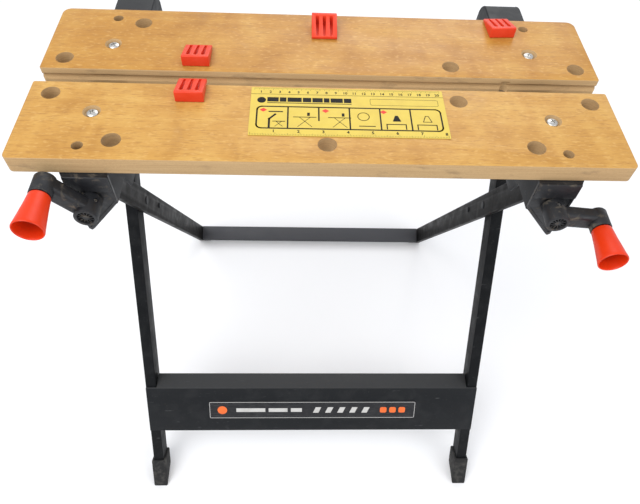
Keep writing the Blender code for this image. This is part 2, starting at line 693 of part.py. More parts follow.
def spacer(side_name, side, parent):
    """The tube that keeps a front leg clear of its housing."""
    start, end = VISE_X + HOUSING_HALF + GAP, LEG_INNER_X - GAP
    profile = [(PIVOT_R + GAP, start), (0.0060, start), (0.0060, end), (PIVOT_R + GAP, end)]
    mesh = bmesh.new()
    add_turned(mesh, profile, 16)
    mesh.transform(Matrix.Rotation(-side * math.pi / 2, 4, "Z"))
    return place(f"pivot_spacer_{side_name}", mesh, "bare_steel", TOP_PIVOT, parent=parent)


def build():
    clear_scene()
    front_frame = empty("front_frame", CROSS, (FRONT_TILT, 0, 0))
    rear_frame = empty("rear_frame", CROSS, (REAR_TILT, 0, 0), front_frame)
    top = empty("top_hinge", TOP_PIVOT, parent=front_frame)
    slide = empty("rear_jaw_slide", (0, REAR_JAW_FRONT_Y, WORK_HEIGHT), parent=top)

    jaw("front_jaw", FRONT_JAW_REAR_Y, -1, FRONT_CORNER, top)
    jaw("rear_jaw", REAR_JAW_FRONT_Y, 1, REAR_CORNER, slide, notch_x=0.205)
    ruler_label(top)
    step_plate(front_frame)
    step_badge(front_frame)
    rear_bar(rear_frame)

    for side_name, side in SIDES:
        housing(side_name, side, top)
        front_plate(side_name, side, top)
        front_bush(side_name, side, top)
        rear_cap(side_name, side, top)
        jaw_carrier(side_name, side, slide)
        jaw_screw(f"jaw_screw_front_{side_name}", side * VISE_X, FRONT_JAW_REAR_Y - JAW_SCREW_IN, top)
        jaw_screw(f"jaw_screw_rear_{side_name}", side * VISE_X, REAR_JAW_FRONT_Y + JAW_SCREW_IN, slide)

        angle = CRANK_LEFT_ANGLE if side < 0 else CRANK_RIGHT_ANGLE
        axis = empty(f"vise_axis_{side_name}", (side * VISE_X, HUB_FRONT_Y, VISE_Z), parent=top)
        knob_at = (side * VISE_X + CRANK_RADIUS * math.cos(angle), VISE_Z + CRANK_RADIUS * math.sin(angle))
        vise_screw(side_name, side, angle, axis)
        crank(side_name, side, angle, axis)
        crank_pin(side_name, side, angle, axis)
        knob_screw(side_name, *knob_at, axis)
        knob(side_name, *knob_at, axis)

        front_leg(side_name, side, front_frame)
        front_foot(side_name, side, front_frame)
        rear_arm(side_name, side, rear_frame)
        rear_foot(side_name, side, rear_frame)
        spacer(side_name, side, front_frame)
        inner = VISE_X - HOUSING_HALF
        head_x = LEG_OUTER_X + GAP
        pin(f"top_pivot_bolt_{side_name}",
            ((0.0070, inner - 0.0040, inner - GAP), (PIVOT_R, inner - GAP, head_x),
             (0.0070, head_x, LEG_OUTER_X + 0.0045)), TOP_PIVOT, side, "bare_steel", front_frame)
        pin(f"cross_pivot_bolt_{side_name}",
            ((0.0070, ARM_INNER_X - 0.0020, ARM_INNER_X - GAP), (PIVOT_R, ARM_INNER_X - GAP, head_x),
             (0.0070, head_x, LEG_OUTER_X + 0.0045)), CROSS, side, "black_steel", front_frame)
        wall = VISE_X + HOUSING_HALF - HOUSING_WALL
        pin(f"hook_stud_{side_name}",
            ((0.0060, wall - 0.0023, wall - GAP), (PIVOT_R, wall - GAP, ARM_OUTER_X + 0.0005),
             (0.0058, ARM_OUTER_X + 0.0005, ARM_OUTER_X + 0.0025)), HOOK, side, "bare_steel", top)
        rivet_at = CROSS + 0.080 * Vector((0, RISE_COS, -RISE_SIN)) + 0.004 * Vector((0, RISE_SIN, RISE_COS))
        web = ARM_INNER_X + SHEET + GAP
        pin(f"stop_rivet_{side_name}",
            ((0.0050, ARM_INNER_X - 0.0020, ARM_INNER_X - GAP), (0.0030, ARM_INNER_X - GAP, web),
             (0.0045, web, ARM_INNER_X + SHEET + 0.0015)), rivet_at, side, "bare_steel", rear_frame)

    near, far = DOG_HOLES[1], DOG_HOLES[2]
    back = DOG_HOLES[3]
    peg("peg_front_left", -near[0], FRONT_JAW_REAR_Y - near[1], 0.0, top)
    peg("peg_rear_left", -near[0], REAR_JAW_FRONT_Y + near[1], 0.0, slide)
    peg("peg_rear_middle", back[0], REAR_JAW_FRONT_Y + back[1], math.pi, slide)
    peg("peg_rear_right", far[0], REAR_JAW_FRONT_Y + far[1], math.radians(3), slide)


build()
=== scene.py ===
"""Looks for a folding portable workbench: wooden vise jaws, pressed housings, crank screws and crossed legs.

Each sub-assembly is a class that holds its own sizes, builds its meshes and dresses them with finishes. All
positions are in metres in the bench's frame: the floor is z = 0, the cranks are at the front (-Y).
"""

import logging
import math
from collections.abc import Callable, Sequence
from dataclasses import dataclass, field
from enum import Enum

import bmesh
import bpy
from mathutils import Matrix, Vector

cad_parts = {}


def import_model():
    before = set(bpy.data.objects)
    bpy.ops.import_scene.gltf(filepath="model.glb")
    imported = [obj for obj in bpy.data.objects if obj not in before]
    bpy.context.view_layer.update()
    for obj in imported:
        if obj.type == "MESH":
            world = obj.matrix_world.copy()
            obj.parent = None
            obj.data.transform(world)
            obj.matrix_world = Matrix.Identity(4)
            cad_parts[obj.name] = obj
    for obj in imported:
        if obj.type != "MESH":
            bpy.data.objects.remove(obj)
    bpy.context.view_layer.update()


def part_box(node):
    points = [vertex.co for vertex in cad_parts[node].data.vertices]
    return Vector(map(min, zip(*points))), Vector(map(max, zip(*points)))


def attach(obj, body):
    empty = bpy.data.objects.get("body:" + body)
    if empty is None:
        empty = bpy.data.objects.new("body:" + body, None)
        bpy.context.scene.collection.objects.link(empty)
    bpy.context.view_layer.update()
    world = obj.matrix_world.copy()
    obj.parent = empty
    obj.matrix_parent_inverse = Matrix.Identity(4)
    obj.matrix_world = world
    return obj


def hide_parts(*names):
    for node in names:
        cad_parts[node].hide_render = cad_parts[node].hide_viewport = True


log = logging.getLogger("workbench")

Pair = tuple[float, float]
Triple = tuple[float, float, float]

# Sizes in metres that more than one sub-assembly needs.
GAP = 0.0003  # clearance between solids that meet
SHEET = 0.0020  # thickness of the pressed steel
TOP_Z = 0.752  # upper faces of the jaws
FRONT_GRIP_Y, REAR_GRIP_Y = -0.0756, -0.0534  # gripping faces of the jaws
COUNTERSINK = (0.0072, 0.0092, 0.0036)  # radius at the bottom and at the rim, and depth
JAW_SCREW_IN = 0.0465  # from a gripping face to its jaw screws
VISE_X = 0.2410  # middle of each housing
HOUSING_HALF, HOUSING_WALL = 0.0235, 0.0025
HUB_OUT = 0.0305  # from the housing's front to the crank's front
LEG_OUTER, LEG_WIDTH = 0.2955, 0.0180
ARM_INNER, ARM_OUTER = 0.2665, 0.2765
PIVOT_HOLE_R = 0.0043


class Side(Enum):
    """The two ends of the bench, as seen from the front."""

    LEFT = -1
    RIGHT = 1

    @property
    def word(self) -> str:
        """The side's name as it ends a node's name."""
        return self.name.lower()


class Body(Enum):
    """The rigid bodies that pieces ride on."""

    TOP = "top"
    SLIDING_JAW = "sliding_jaw"
    FRONT_LEGS = "front_legs"
    REAR_LEGS = "rear_legs"


# ---------------------------------------------------------------------------------------------------------
# Node trees


class Nodes:
    """A short way to wire one material's node tree."""

    def __init__(self, name: str) -> None:
        """Start a material with an empty tree, an output and a principled shader.

        Args:
            name: The material's name.
        """
        self.material = bpy.data.materials.new(name)
        self.material.use_nodes = True
        self.tree = self.material.node_tree
        self.tree.nodes.clear()
        self.output = self.tree.nodes.new("ShaderNodeOutputMaterial")
        self.shader = self.tree.nodes.new("ShaderNodeBsdfPrincipled")
        self.link(self.shader.outputs["BSDF"], self.output.inputs["Surface"])
        self.coordinates = self.tree.nodes.new("ShaderNodeTexCoord")

    def link(self, start: bpy.types.NodeSocket, end: bpy.types.NodeSocket) -> None:
        """Join two sockets."""
        self.tree.links.new(start, end)

    def node(self, kind: str, **values: object) -> bpy.types.Node:
        """Add a node.

        Args:
            kind: The node's class name without its ShaderNode prefix.
            **values: Properties of the node, or default values of inputs with underscores for spaces.

        Returns:
            The new node.
        """
        made = self.tree.nodes.new("ShaderNode" + kind)
        for key, value in values.items():
            if hasattr(made, key):
                setattr(made, key, value)
            else:
                made.inputs[key.replace("_", " ")].default_value = value
        return made

    def place(self, stretch: Triple = (1.0, 1.0, 1.0),
              shift: Triple = (0.0, 0.0, 0.0)) -> bpy.types.NodeSocket:
        """The object's own coordinates, stretched and shifted."""
        mapping = self.node("Mapping")
        mapping.inputs["Scale"].default_value = stretch
        mapping.inputs["Location"].default_value = shift
        self.link(self.coordinates.outputs["Object"], mapping.inputs["Vector"])
        return mapping.outputs["Vector"]

    def noise(self, vector: bpy.types.NodeSocket, scale: float, detail: float = 4.0,
              roughness: float = 0.55, distortion: float = 0.0) -> bpy.types.NodeSocket:
        """A noise value between 0 and 1."""
        made = self.node("TexNoise", Scale=scale, Detail=detail, Roughness=roughness, Distortion=distortion)
        self.link(vector, made.inputs["Vector"])
        return made.outputs["Fac"]

    def ramp(self, value: bpy.types.NodeSocket,
             stops: Sequence[tuple[float, Triple]]) -> bpy.types.NodeSocket:
        """A colour ramp.

        Args:
            value: What drives the ramp.
            stops: Pairs of position and linear colour, in order.

        Returns:
            The ramp's colour.
        """
        made = self.node("ValToRGB")
        elements = made.color_ramp.elements
        while len(elements) < len(stops):
            elements.new(0.5)
        for element, (position, colour) in zip(elements, stops):
            element.position = position
            element.color = (*colour, 1.0)
        self.link(value, made.inputs["Fac"])
        return made.outputs["Color"]

    def remap(self, value: bpy.types.NodeSocket, source: Pair, target: Pair) -> bpy.types.NodeSocket:
        """Stretch the source range of a value onto the target range, clamped."""
        made = self.node("MapRange")
        for socket, number in zip(made.inputs[1:5], (*source, *target)):
            socket.default_value = number
        self.link(value, made.inputs["Value"])
        return made.outputs["Result"]

    def mix(self, amount: bpy.types.NodeSocket | float, first: bpy.types.NodeSocket | Triple,
            second: bpy.types.NodeSocket | Triple, blend: str = "MIX") -> bpy.types.NodeSocket:
        """Blend two colours by an amount."""
        made = self.node("Mix", data_type="RGBA", blend_type=blend)
        for socket, value in ((made.inputs[0], amount), (made.inputs[6], first), (made.inputs[7], second)):
            if isinstance(value, bpy.types.NodeSocket):
                self.link(value, socket)
            elif isinstance(value, tuple):
                socket.default_value = (*value, 1.0)
            else:
                socket.default_value = value
        return made.outputs[2]

    def maths(self, operation: str, first: bpy.types.NodeSocket | float,
              second: bpy.types.NodeSocket | float = 0.0) -> bpy.types.NodeSocket:
        """A sum, product or other operation on two values."""
        made = self.node("Math", operation=operation)
        for socket, value in zip(made.inputs, (first, second)):
            if isinstance(value, bpy.types.NodeSocket):
                self.link(value, socket)
            else:
                socket.default_value = value
        return made.outputs[0]

    def bump(self, height: bpy.types.NodeSocket, strength: float, distance: float,
             under: bpy.types.NodeSocket | None = None) -> bpy.types.NodeSocket:
        """Turn a height into a bumped normal, over another bump where one is given."""
        made = self.node("Bump", Strength=strength, Distance=distance)
        self.link(height, made.inputs["Height"])
        if under is not None:
            self.link(under, made.inputs["Normal"])
        return made.outputs["Normal"]

    def upward(self, source: Pair, target: Pair) -> bpy.types.NodeSocket:
        """A value that follows how far the surface faces up."""
        split = self.node("SeparateXYZ")
        self.link(self.node("NewGeometry").outputs["Normal"], split.inputs[0])
        return self.remap(split.outputs["Z"], source, target)

    def set(self, **values: object) -> None:
        """Set or link the shader's inputs, with underscores for spaces."""
        for key, value in values.items():
            socket = self.shader.inputs[key.replace("_", " ")]
            if isinstance(value, bpy.types.NodeSocket):
                self.link(value, socket)
            else:
                socket.default_value = value


# ---------------------------------------------------------------------------------------------------------
# Finishes


class Finish:
    """A surface finish that makes its material once."""

    slot: str = ""

    def material(self) -> bpy.types.Material:
        """The finish's material, made on first use."""
        name = self.label()
        return bpy.data.materials.get(name) or self.wire(Nodes(name))

    def label(self) -> str:
        """The material's name."""
        return type(self).__name__

    def wire(self, nodes: Nodes) -> bpy.types.Material:
        """Wire the node tree and return its material."""
        raise NotImplementedError


@dataclass(frozen=True)
class Veneer(Finish):
    """Lacquered maple-coloured veneer with its grain along X and a little workshop wear."""

    light: Triple = (0.550, 0.314, 0.082)
    middle: Triple = (0.487, 0.253, 0.058)
    dark: Triple = (0.395, 0.187, 0.036)
    shift: float = 0.0
    tone: Triple = (1.0, 1.0, 1.0)
    slot: str = "veneered_board"

    def label(self) -> str:
        """The material's name, which differs between boards cut from different sheets."""
        return f"Veneer_{round(self.shift * 10)}"

    def wire(self, nodes: Nodes) -> bpy.types.Material:
        """Long grain, short pores and pale flecks under a satin lacquer."""
        long_grain = nodes.noise(nodes.place((2.2, 42.0, 30.0), (self.shift, self.shift, 0)), 1.4, 5.0, 0.6,
                                 0.5)
        cloud = nodes.noise(nodes.place((16.0, 9.0, 9.0), (0, self.shift, 0)), 1.8, 3.0, 0.5, 0.6)
        pores = nodes.noise(nodes.place((95.0, 720.0, 720.0), (self.shift, 0, 0)), 1.0, 3.0, 0.6)
        flecks = nodes.noise(nodes.place((150.0, 330.0, 330.0), (0, 0, self.shift)), 1.0, 2.0, 0.5)
        grain = nodes.maths("ADD", nodes.maths("MULTIPLY", long_grain, 0.45),
                            nodes.maths("MULTIPLY", cloud, 0.55))
        stops = ((0.33, self.dark), (0.5, self.middle), (0.66, self.light))
        toned = [(at, tuple(part * tone for part, tone in zip(shade, self.tone))) for at, shade in stops]
        colour = nodes.ramp(grain, toned)
        colour = nodes.mix(nodes.remap(pores, (0.52, 0.68), (0.0, 0.55)), colour, (0.30, 0.135, 0.032))
        colour = nodes.mix(nodes.remap(flecks, (0.56, 0.70), (0.0, 0.35)), colour, (0.66, 0.41, 0.14))
        stains = nodes.noise(nodes.place((5.0, 8.0, 8.0), (self.shift + 4.0, 0, 0)), 2.1, 6.0, 0.62, 0.6)
        colour = nodes.mix(nodes.remap(stains, (0.63, 0.74), (0.0, 0.30)), colour, (0.34, 0.20, 0.10))
        scratch = nodes.noise(nodes.place((9.0, 900.0, 900.0), (2.0, self.shift, 0)), 1.0, 1.0, 0.5)
        smear = nodes.noise(nodes.place((6.0, 14.0, 14.0)), 3.0, 4.0)
        nodes.set(
            Base_Color=colour, Roughness=nodes.remap(smear, (0.3, 0.7), (0.34, 0.50)),
            Specular_IOR_Level=0.30, Coat_Weight=0.05, Coat_Roughness=0.3,
            Normal=nodes.bump(scratch, 0.08, 0.0002, nodes.bump(pores, 0.14, 0.0003)),
        )
        return nodes.material


@dataclass(frozen=True)
class Fibreboard(Finish):
    """Raw fibreboard edges, a little dirty and furred."""

    pale: Triple = (0.540, 0.365, 0.184)
    brown: Triple = (0.378, 0.242, 0.115)
    slot: str = "veneered_board"

    def wire(self, nodes: Nodes) -> bpy.types.Material:
        """Fine fibres in flat layers with darker handling marks."""
        layers = nodes.noise(nodes.place((14.0, 14.0, 900.0)), 1.0, 3.0, 0.6)
        fibres = nodes.noise(nodes.place((900.0, 900.0, 1400.0)), 1.0, 4.0, 0.7)
        marks = nodes.noise(nodes.place((22.0, 22.0, 60.0)), 1.2, 5.0, 0.6)
        both = nodes.maths("ADD", nodes.maths("MULTIPLY", layers, 0.5),
                           nodes.maths("MULTIPLY", fibres, 0.5))
        colour = nodes.ramp(both, ((0.30, self.brown), (0.66, self.pale)))
        colour = nodes.mix(nodes.remap(marks, (0.58, 0.72), (0.0, 0.5)), colour, (0.17, 0.115, 0.07))
        nodes.set(Base_Color=colour, Roughness=0.86, Specular_IOR_Level=0.2,
                  Normal=nodes.bump(fibres, 0.35, 0.0005))
        return nodes.material


@dataclass(frozen=True)
class PaintedSteel(Finish):
    """Black satin powder coat with dust, scuffs and a faint orange-peel; upward faces paler as dust and
    painted top light.
    """

    base: Triple = (0.0080, 0.0092, 0.0108)
    dust: Triple = (0.040, 0.041, 0.042)
    amount: float = 0.40
    sheen: float = 0.16
    slot: str = "black_steel"

    def label(self) -> str:
        """The material's name, by how dusty and how glossy the piece is."""
        return f"PaintedSteel_{round(self.amount * 100)}_{round(self.sheen * 100)}"

    def wire(self, nodes: Nodes) -> bpy.types.Material:
        """Paint under patches of dust, with bright fine scratches and painted top light on upward faces."""
        patches = nodes.noise(nodes.place((1.0, 1.0, 1.0)), 34.0, 6.0, 0.62, 0.4)
        specks = nodes.noise(nodes.place((1.0, 1.0, 1.0), (3.0, 1.0, 2.0)), 420.0, 3.0, 0.6)
        peel = nodes.noise(nodes.place(), 900.0, 2.0, 0.5)
        scuffs = nodes.noise(nodes.place((60.0, 700.0, 90.0), (1.0, 5.0, 2.0)), 1.0, 2.0, 0.5, 0.2)
        # Painted top light: faces that point up take the paler dust colour, partly settled dust and partly
        # painted light from above.
        dust_and_top_light = nodes.upward((0.55, 0.95), (0.0, 0.90))
        layer = nodes.maths("MAXIMUM", nodes.remap(patches, (0.46, 0.74), (0.0, self.amount)), dust_and_top_light)
        colour = nodes.mix(layer, self.base, self.dust)
        colour = nodes.mix(nodes.remap(specks, (0.66, 0.74), (0.0, self.amount)), colour,
                           (0.11, 0.10, 0.09))
        colour = nodes.mix(nodes.remap(scuffs, (0.70, 0.76), (0.0, 0.55)), colour, (0.09, 0.09, 0.092))
        nodes.set(
            Base_Color=colour, Specular_IOR_Level=self.sheen,
            Roughness=nodes.remap(patches, (0.35, 0.75), (0.42, 0.68)),
            Normal=nodes.bump(peel, 0.10, 0.0002),
        )
        return nodes.material


@dataclass(frozen=True)
class DarkPlastic(Finish):
    """Black moulded plastic with a fine spark-eroded texture and grime."""

    base: Triple = (0.0125, 0.0130, 0.0150)
    grime: Triple = (0.17, 0.14, 0.10)
    amount: float = 0.5
    slot: str = "black_plastic"

    def label(self) -> str:
        """The material's name, by how grimy the piece is."""
        return f"DarkPlastic_{round(self.amount * 100)}"

    def wire(self, nodes: Nodes) -> bpy.types.Material:
        """Texture bumps, with grime in worn patches."""
        grain = nodes.noise(nodes.place(), 1500.0, 2.0, 0.5)
        patches = nodes.noise(nodes.place((1.0, 1.0, 1.0), (0.3, 0.1, 0.7)), 75.0, 6.0, 0.66, 0.6)
        colour = nodes.mix(nodes.remap(patches, (0.55, 0.72), (0.0, self.amount)), self.base, self.grime)
        nodes.set(
            Base_Color=colour, Specular_IOR_Level=0.40,
            Roughness=nodes.remap(patches, (0.4, 0.7), (0.36, 0.78)),
            Normal=nodes.bump(patches, 0.12, 0.0006, nodes.bump(grain, 0.12, 0.0002)),
        )
        return nodes.material


@dataclass(frozen=True)
class OrangePlastic(Finish):
    """Glossy red-orange moulded plastic."""

    base: Triple = (0.71, 0.038, 0.004)
    slot: str = "orange_plastic"

    def label(self) -> str:
        """The material's name, by how pale the batch is."""
        return f"OrangePlastic_{round(self.base[1] * 1000)}"

    def wire(self, nodes: Nodes) -> bpy.types.Material:
        """A bright body colour with faint flow marks and fingerprints."""
        flow = nodes.noise(nodes.place((1.0, 1.0, 1.0)), 60.0, 3.0, 0.5, 0.8)
        fine = nodes.noise(nodes.place(), 1100.0, 2.0, 0.5)
        marks = nodes.noise(nodes.place((1.0, 1.0, 1.0), (2.0, 0.0, 1.0)), 190.0, 5.0, 0.6)
        colour = nodes.mix(nodes.remap(flow, (0.35, 0.7), (0.0, 0.5)), self.base, (0.64, 0.028, 0.003))
        nodes.set(
            Base_Color=colour, Specular_IOR_Level=0.28,
            Roughness=nodes.remap(marks, (0.3, 0.7), (0.30, 0.46)),
            Normal=nodes.bump(fine, 0.05, 0.0001),
        )
        return nodes.material


@dataclass(frozen=True)
class Rubber(Finish):
    """Matte black rubber with floor dust."""

    slot: str = "black_rubber"

    def wire(self, nodes: Nodes) -> bpy.types.Material:
        """A dull surface that is dustier in patches."""
        patches = nodes.noise(nodes.place(), 90.0, 6.0, 0.65)
        fine = nodes.noise(nodes.place(), 1300.0, 3.0, 0.6)
        colour = nodes.mix(nodes.remap(patches, (0.48, 0.72), (0.0, 0.6)), (0.019, 0.019, 0.019),
                           (0.10, 0.095, 0.085))
        nodes.set(Base_Color=colour, Roughness=0.88, Specular_IOR_Level=0.3,
                  Normal=nodes.bump(fine, 0.25, 0.0004))
        return nodes.material


@dataclass(frozen=True)
class ZincSteel(Finish):
    """Zinc-plated steel, slightly dulled."""

    tint: Triple = (0.60, 0.59, 0.56)
    slot: str = "bare_steel"

    def wire(self, nodes: Nodes) -> bpy.types.Material:
        """Bright metal with dull and stained patches."""
        patches = nodes.noise(nodes.place(), 260.0, 5.0, 0.6)
        fine = nodes.noise(nodes.place((1.0, 1.0, 6.0)), 900.0, 2.0, 0.5)
        colour = nodes.mix(nodes.remap(patches, (0.5, 0.72), (0.0, 0.55)), self.tint, (0.30, 0.26, 0.20))
        nodes.set(Base_Color=colour, Metallic=1.0, Roughness=nodes.remap(patches, (0.3, 0.7), (0.26, 0.48)),
                  Normal=nodes.bump(fine, 0.08, 0.0001))
        return nodes.material


@dataclass(frozen=True)
class PrintedFilm(Finish):
    """A plastic film or the ink on it, in one colour."""

    title: str = "film"
    colour: Triple = (0.620, 0.465, 0.070)
    worn: Triple = (0.560, 0.405, 0.062)
    gloss: float = 0.38
    slot: str = "printed_label"
    sheen: float = 0.3

    def label(self) -> str:
        """The material's name."""
        return f"Film_{self.title}"

    def wire(self, nodes: Nodes) -> bpy.types.Material:
        """An even print with slight wear."""
        patches = nodes.noise(nodes.place(), 70.0, 5.0, 0.6)
        rub = nodes.noise(nodes.place((30.0, 400.0, 1.0)), 1.0, 3.0, 0.6)
        colour = nodes.mix(nodes.remap(patches, (0.42, 0.72), (0.0, 0.7)), self.colour, self.worn)
        nodes.set(Base_Color=colour,
                  Roughness=nodes.remap(rub, (0.3, 0.7), (self.gloss, self.gloss + 0.14)),
                  Specular_IOR_Level=self.sheen, Normal=nodes.bump(rub, 0.04, 0.0001))
        return nodes.material


PEG_PLASTIC = OrangePlastic((0.72, 0.055, 0.022))
# Darker, less dusty copies of the black paint for the front legs and rear arms: painted shade under the
# worktop.
LEG_SHADED_PAINT = PaintedSteel((0.0055, 0.0062, 0.0070), (0.028, 0.029, 0.030), 0.45, 0.10)
ARM_SHADED_PAINT = PaintedSteel((0.0045, 0.0040, 0.0036), (0.020, 0.019, 0.018), 0.30, 0.10)
# A paler, dustier copy of the black paint for the bar at the floor: dust and painted light on its lit faces.
BAR_LIT_DUSTY_PAINT = PaintedSteel((0.030, 0.031, 0.035), (0.075, 0.076, 0.082), 0.80, 0.30)
FRONT_TONE, REAR_TONE = (1.05, 1.07, 1.05), (0.94, 0.88, 0.70)
BLACK_INK = PrintedFilm("black_ink", (0.012, 0.012, 0.012), (0.030, 0.027, 0.020), 0.42, sheen=0.08)
RED_INK = PrintedFilm("red_ink", (0.70, 0.035, 0.02), (0.62, 0.06, 0.03), 0.42)
YELLOW_FILM = PrintedFilm("yellow")
PANEL_FILM = PrintedFilm("panel", (0.012, 0.012, 0.014), (0.03, 0.03, 0.032), 0.20, "dark_panel")
PANEL_LINE = PrintedFilm("panel_line", (0.55, 0.54, 0.52), (0.42, 0.41, 0.39), 0.30, "dark_panel")
PANEL_ORANGE = PrintedFilm("panel_orange", (0.85, 0.16, 0.03), (0.70, 0.12, 0.03), 0.30, "dark_panel")


# ---------------------------------------------------------------------------------------------------------
# Shapes


def arc(centre: Pair, radius: float, start: float, end: float, steps: int) -> list[Pair]:
    """Points on an arc.

    Args:
        centre: The arc's centre.
        radius: Its radius.
        start: First angle in degrees.
        end: Last angle in degrees.
        steps: Number of chords.

    Returns:
        The points, both ends included.
    """
    turns = [math.radians(start + (end - start) * i / steps) for i in range(steps + 1)]
    return [(centre[0] + radius * math.cos(t), centre[1] + radius * math.sin(t)) for t in turns]


def rounded_rectangle(low: Pair, high: Pair, radius: float, steps: int = 6,
                      low_radius: float | None = None) -> list[Pair]:
    """A rectangle's outline with round corners.

    Args:
        low: Its lower left corner.
        high: Its upper right corner.
        radius: The radius of the corners.
        steps: Chords in each corner.
        low_radius: The radius of the two lower corners, where it differs.

    Returns:
        The outline's points.
    """
    (x0, y0), (x1, y1) = low, high
    near = radius if low_radius is None else low_radius
    corners = (
        (x1 - radius, y1 - radius, radius), (x0 + radius, y1 - radius, radius),
        (x0 + near, y0 + near, near), (x1 - near, y0 + near, near),
    )
    return [point for index, (x, y, size) in enumerate(corners)
            for point in arc((x, y), size, 90 * index, 90 * index + 90, steps)]


class Shape:
    """A mesh that grows from simple solids in its own frame."""

    def __init__(self, frame: Matrix | None = None) -> None:
        """Start an empty shape.

        Args:
            frame: Where its own frame stands in the bench's frame.
        """
        self.frame = frame or Matrix.Identity(4)
        self.mesh = bmesh.new()

    def box(self, low: Triple, high: Triple) -> "Shape":
        """Add a box between two corners."""
        corner, far = Vector(low), Vector(high)
        size = Matrix.Diagonal((*(far - corner), 1.0))
        bmesh.ops.create_cube(self.mesh, size=1.0, matrix=Matrix.Translation((corner + far) / 2) @ size)
        return self

    def prism(self, outline: Sequence[Pair], axis: str, low: float, high: float) -> "Shape":
        """Extrude an outline, whose pairs are the two other axes in order."""
        place = "XYZ".index(axis)
        corners = []
        for pair in outline:
            values = list(pair)
            values.insert(place, low)
            corners.append(self.mesh.verts.new(values))
        raised = bmesh.ops.extrude_face_region(self.mesh, geom=[self.mesh.faces.new(corners)])
        step = Vector([high - low if index == place else 0.0 for index in range(3)])
        bmesh.ops.translate(
            self.mesh, verts=[item for item in raised["geom"] if isinstance(item, bmesh.types.BMVert)],
            vec=step)
        return self

    def rod(self, radius: float, start: Triple, end: Triple, sides: int = 48,
            end_radius: float | None = None) -> "Shape":
        """Add a round bar or cone between two points."""
        near, far = Vector(start), Vector(end)
        turn = Vector((0, 0, 1)).rotation_difference(far - near).to_matrix().to_4x4()
        bmesh.ops.create_cone(
            self.mesh, cap_ends=True, segments=sides, radius1=radius,
            radius2=radius if end_radius is None else end_radius, depth=(far - near).length,
            matrix=Matrix.Translation((near + far) / 2) @ turn)
        return self

    def turned(self, profile: Sequence[Pair], sides: int = 64, towards: Triple = (0, 1, 0),
               at: Triple = (0, 0, 0)) -> "Shape":
        """Spin a closed profile of (radius, distance) pairs about an axis through a point."""
        fresh = bmesh.new()
        points = [fresh.verts.new((radius, along, 0.0)) for radius, along in profile]
        first = 1 if profile[0][0] == 0 and profile[-1][0] == 0 else 0
        edges = [fresh.edges.new((points[i - 1], points[i])) for i in range(first, len(points))]
        bmesh.ops.spin(fresh, geom=points + edges, cent=(0, 0, 0), axis=(0, 1, 0), angle=math.tau,
                       steps=sides,
                       use_duplicate=False)
        bmesh.ops.remove_doubles(fresh, verts=fresh.verts, dist=1e-6)
        bmesh.ops.dissolve_degenerate(fresh, edges=fresh.edges, dist=1e-7)
        turn = Vector((0, 1, 0)).rotation_difference(Vector(towards)).to_matrix().to_4x4()
        fresh.transform(Matrix.Translation(at) @ turn)
        data = bpy.data.meshes.new("turned")
        fresh.to_mesh(data)
        fresh.free()
        self.mesh.from_mesh(data)
        bpy.data.meshes.remove(data)
        return self

    def ball(self, radius: float, at: Triple, stretch: Triple = (1, 1, 1)) -> "Shape":
        """Add a ball, stretched along the axes."""
        size = Matrix.Diagonal((*(radius * s for s in stretch), 1.0))
        bmesh.ops.create_uvsphere(self.mesh, u_segments=32, v_segments=16, radius=1.0,
                                  matrix=Matrix.Translation(at) @ size)
        return self

    def done(self, name: str) -> bpy.types.Object:
        """Turn the shape into an object."""
        bmesh.ops.recalc_face_normals(self.mesh, faces=self.mesh.faces)
        data = bpy.data.meshes.new(name)
        self.mesh.to_mesh(data)
        self.mesh.free()
        made = bpy.data.objects.new(name, data)
        bpy.context.scene.collection.objects.link(made)
        made.matrix_world = self.frame
        bpy.context.view_layer.update()
        return made


def settle(piece: bpy.types.Object) -> None:
    """Bake a piece's modifiers into its mesh."""
    bpy.context.view_layer.update()
    graph = bpy.context.evaluated_depsgraph_get()
    baked = bpy.data.meshes.new_from_object(piece.evaluated_get(graph))
    piece.modifiers.clear()
    piece.data = baked


def combine(piece: bpy.types.Object, tool: bpy.types.Object, operation: str = "DIFFERENCE") -> None:
    """Cut a tool out of a piece, or join it on, and remove the tool."""
    boolean = piece.modifiers.new("boolean", "BOOLEAN")
    boolean.object = tool
    boolean.operation = operation
    boolean.solver = "EXACT"
    settle(piece)
    bpy.data.objects.remove(tool)


def drill(piece: bpy.types.Object, frame: Matrix, radius: float, start: Triple, end: Triple,
          sides: int = 32) -> None:
    """Cut a round hole in a piece between two points of a frame."""
    combine(piece, Shape(frame).rod(radius, start, end, sides).done("drill"))


def soften(piece: bpy.types.Object, width: float, segments: int = 3, angle: float = 30.0) -> None:
    """Round a piece's sharp edges and smooth its faces."""
    bevel = piece.modifiers.new("edges", "BEVEL")
    bevel.width = width
    bevel.segments = segments
    bevel.limit_method = "ANGLE"
    bevel.angle_limit = math.radians(angle)
    bevel.miter_outer = "MITER_ARC"
    settle(piece)
    smooth(piece)


def smooth(piece: bpy.types.Object, angle: float = 40.0) -> None:
    """Shade a piece smooth, keeping its sharp edges."""
    piece.data.shade_smooth()
    piece.data.set_sharp_from_angle(angle=math.radians(angle))


def dress(piece: bpy.types.Object, *finishes: Finish,
          choose: Callable[[bpy.types.MeshPolygon], int] | None = None) -> None:
    """Give a piece its finishes.

    Args:
        piece: The object to dress.
        *finishes: One finish, or several that choose picks between.
        choose: Which finish, by number, a face takes.
    """
    piece.data.materials.clear()
    for finish in finishes:
        piece.data.materials.append(finish.material())
    if choose is not None:
        for face in piece.data.polygons:
            face.material_index = choose(face)


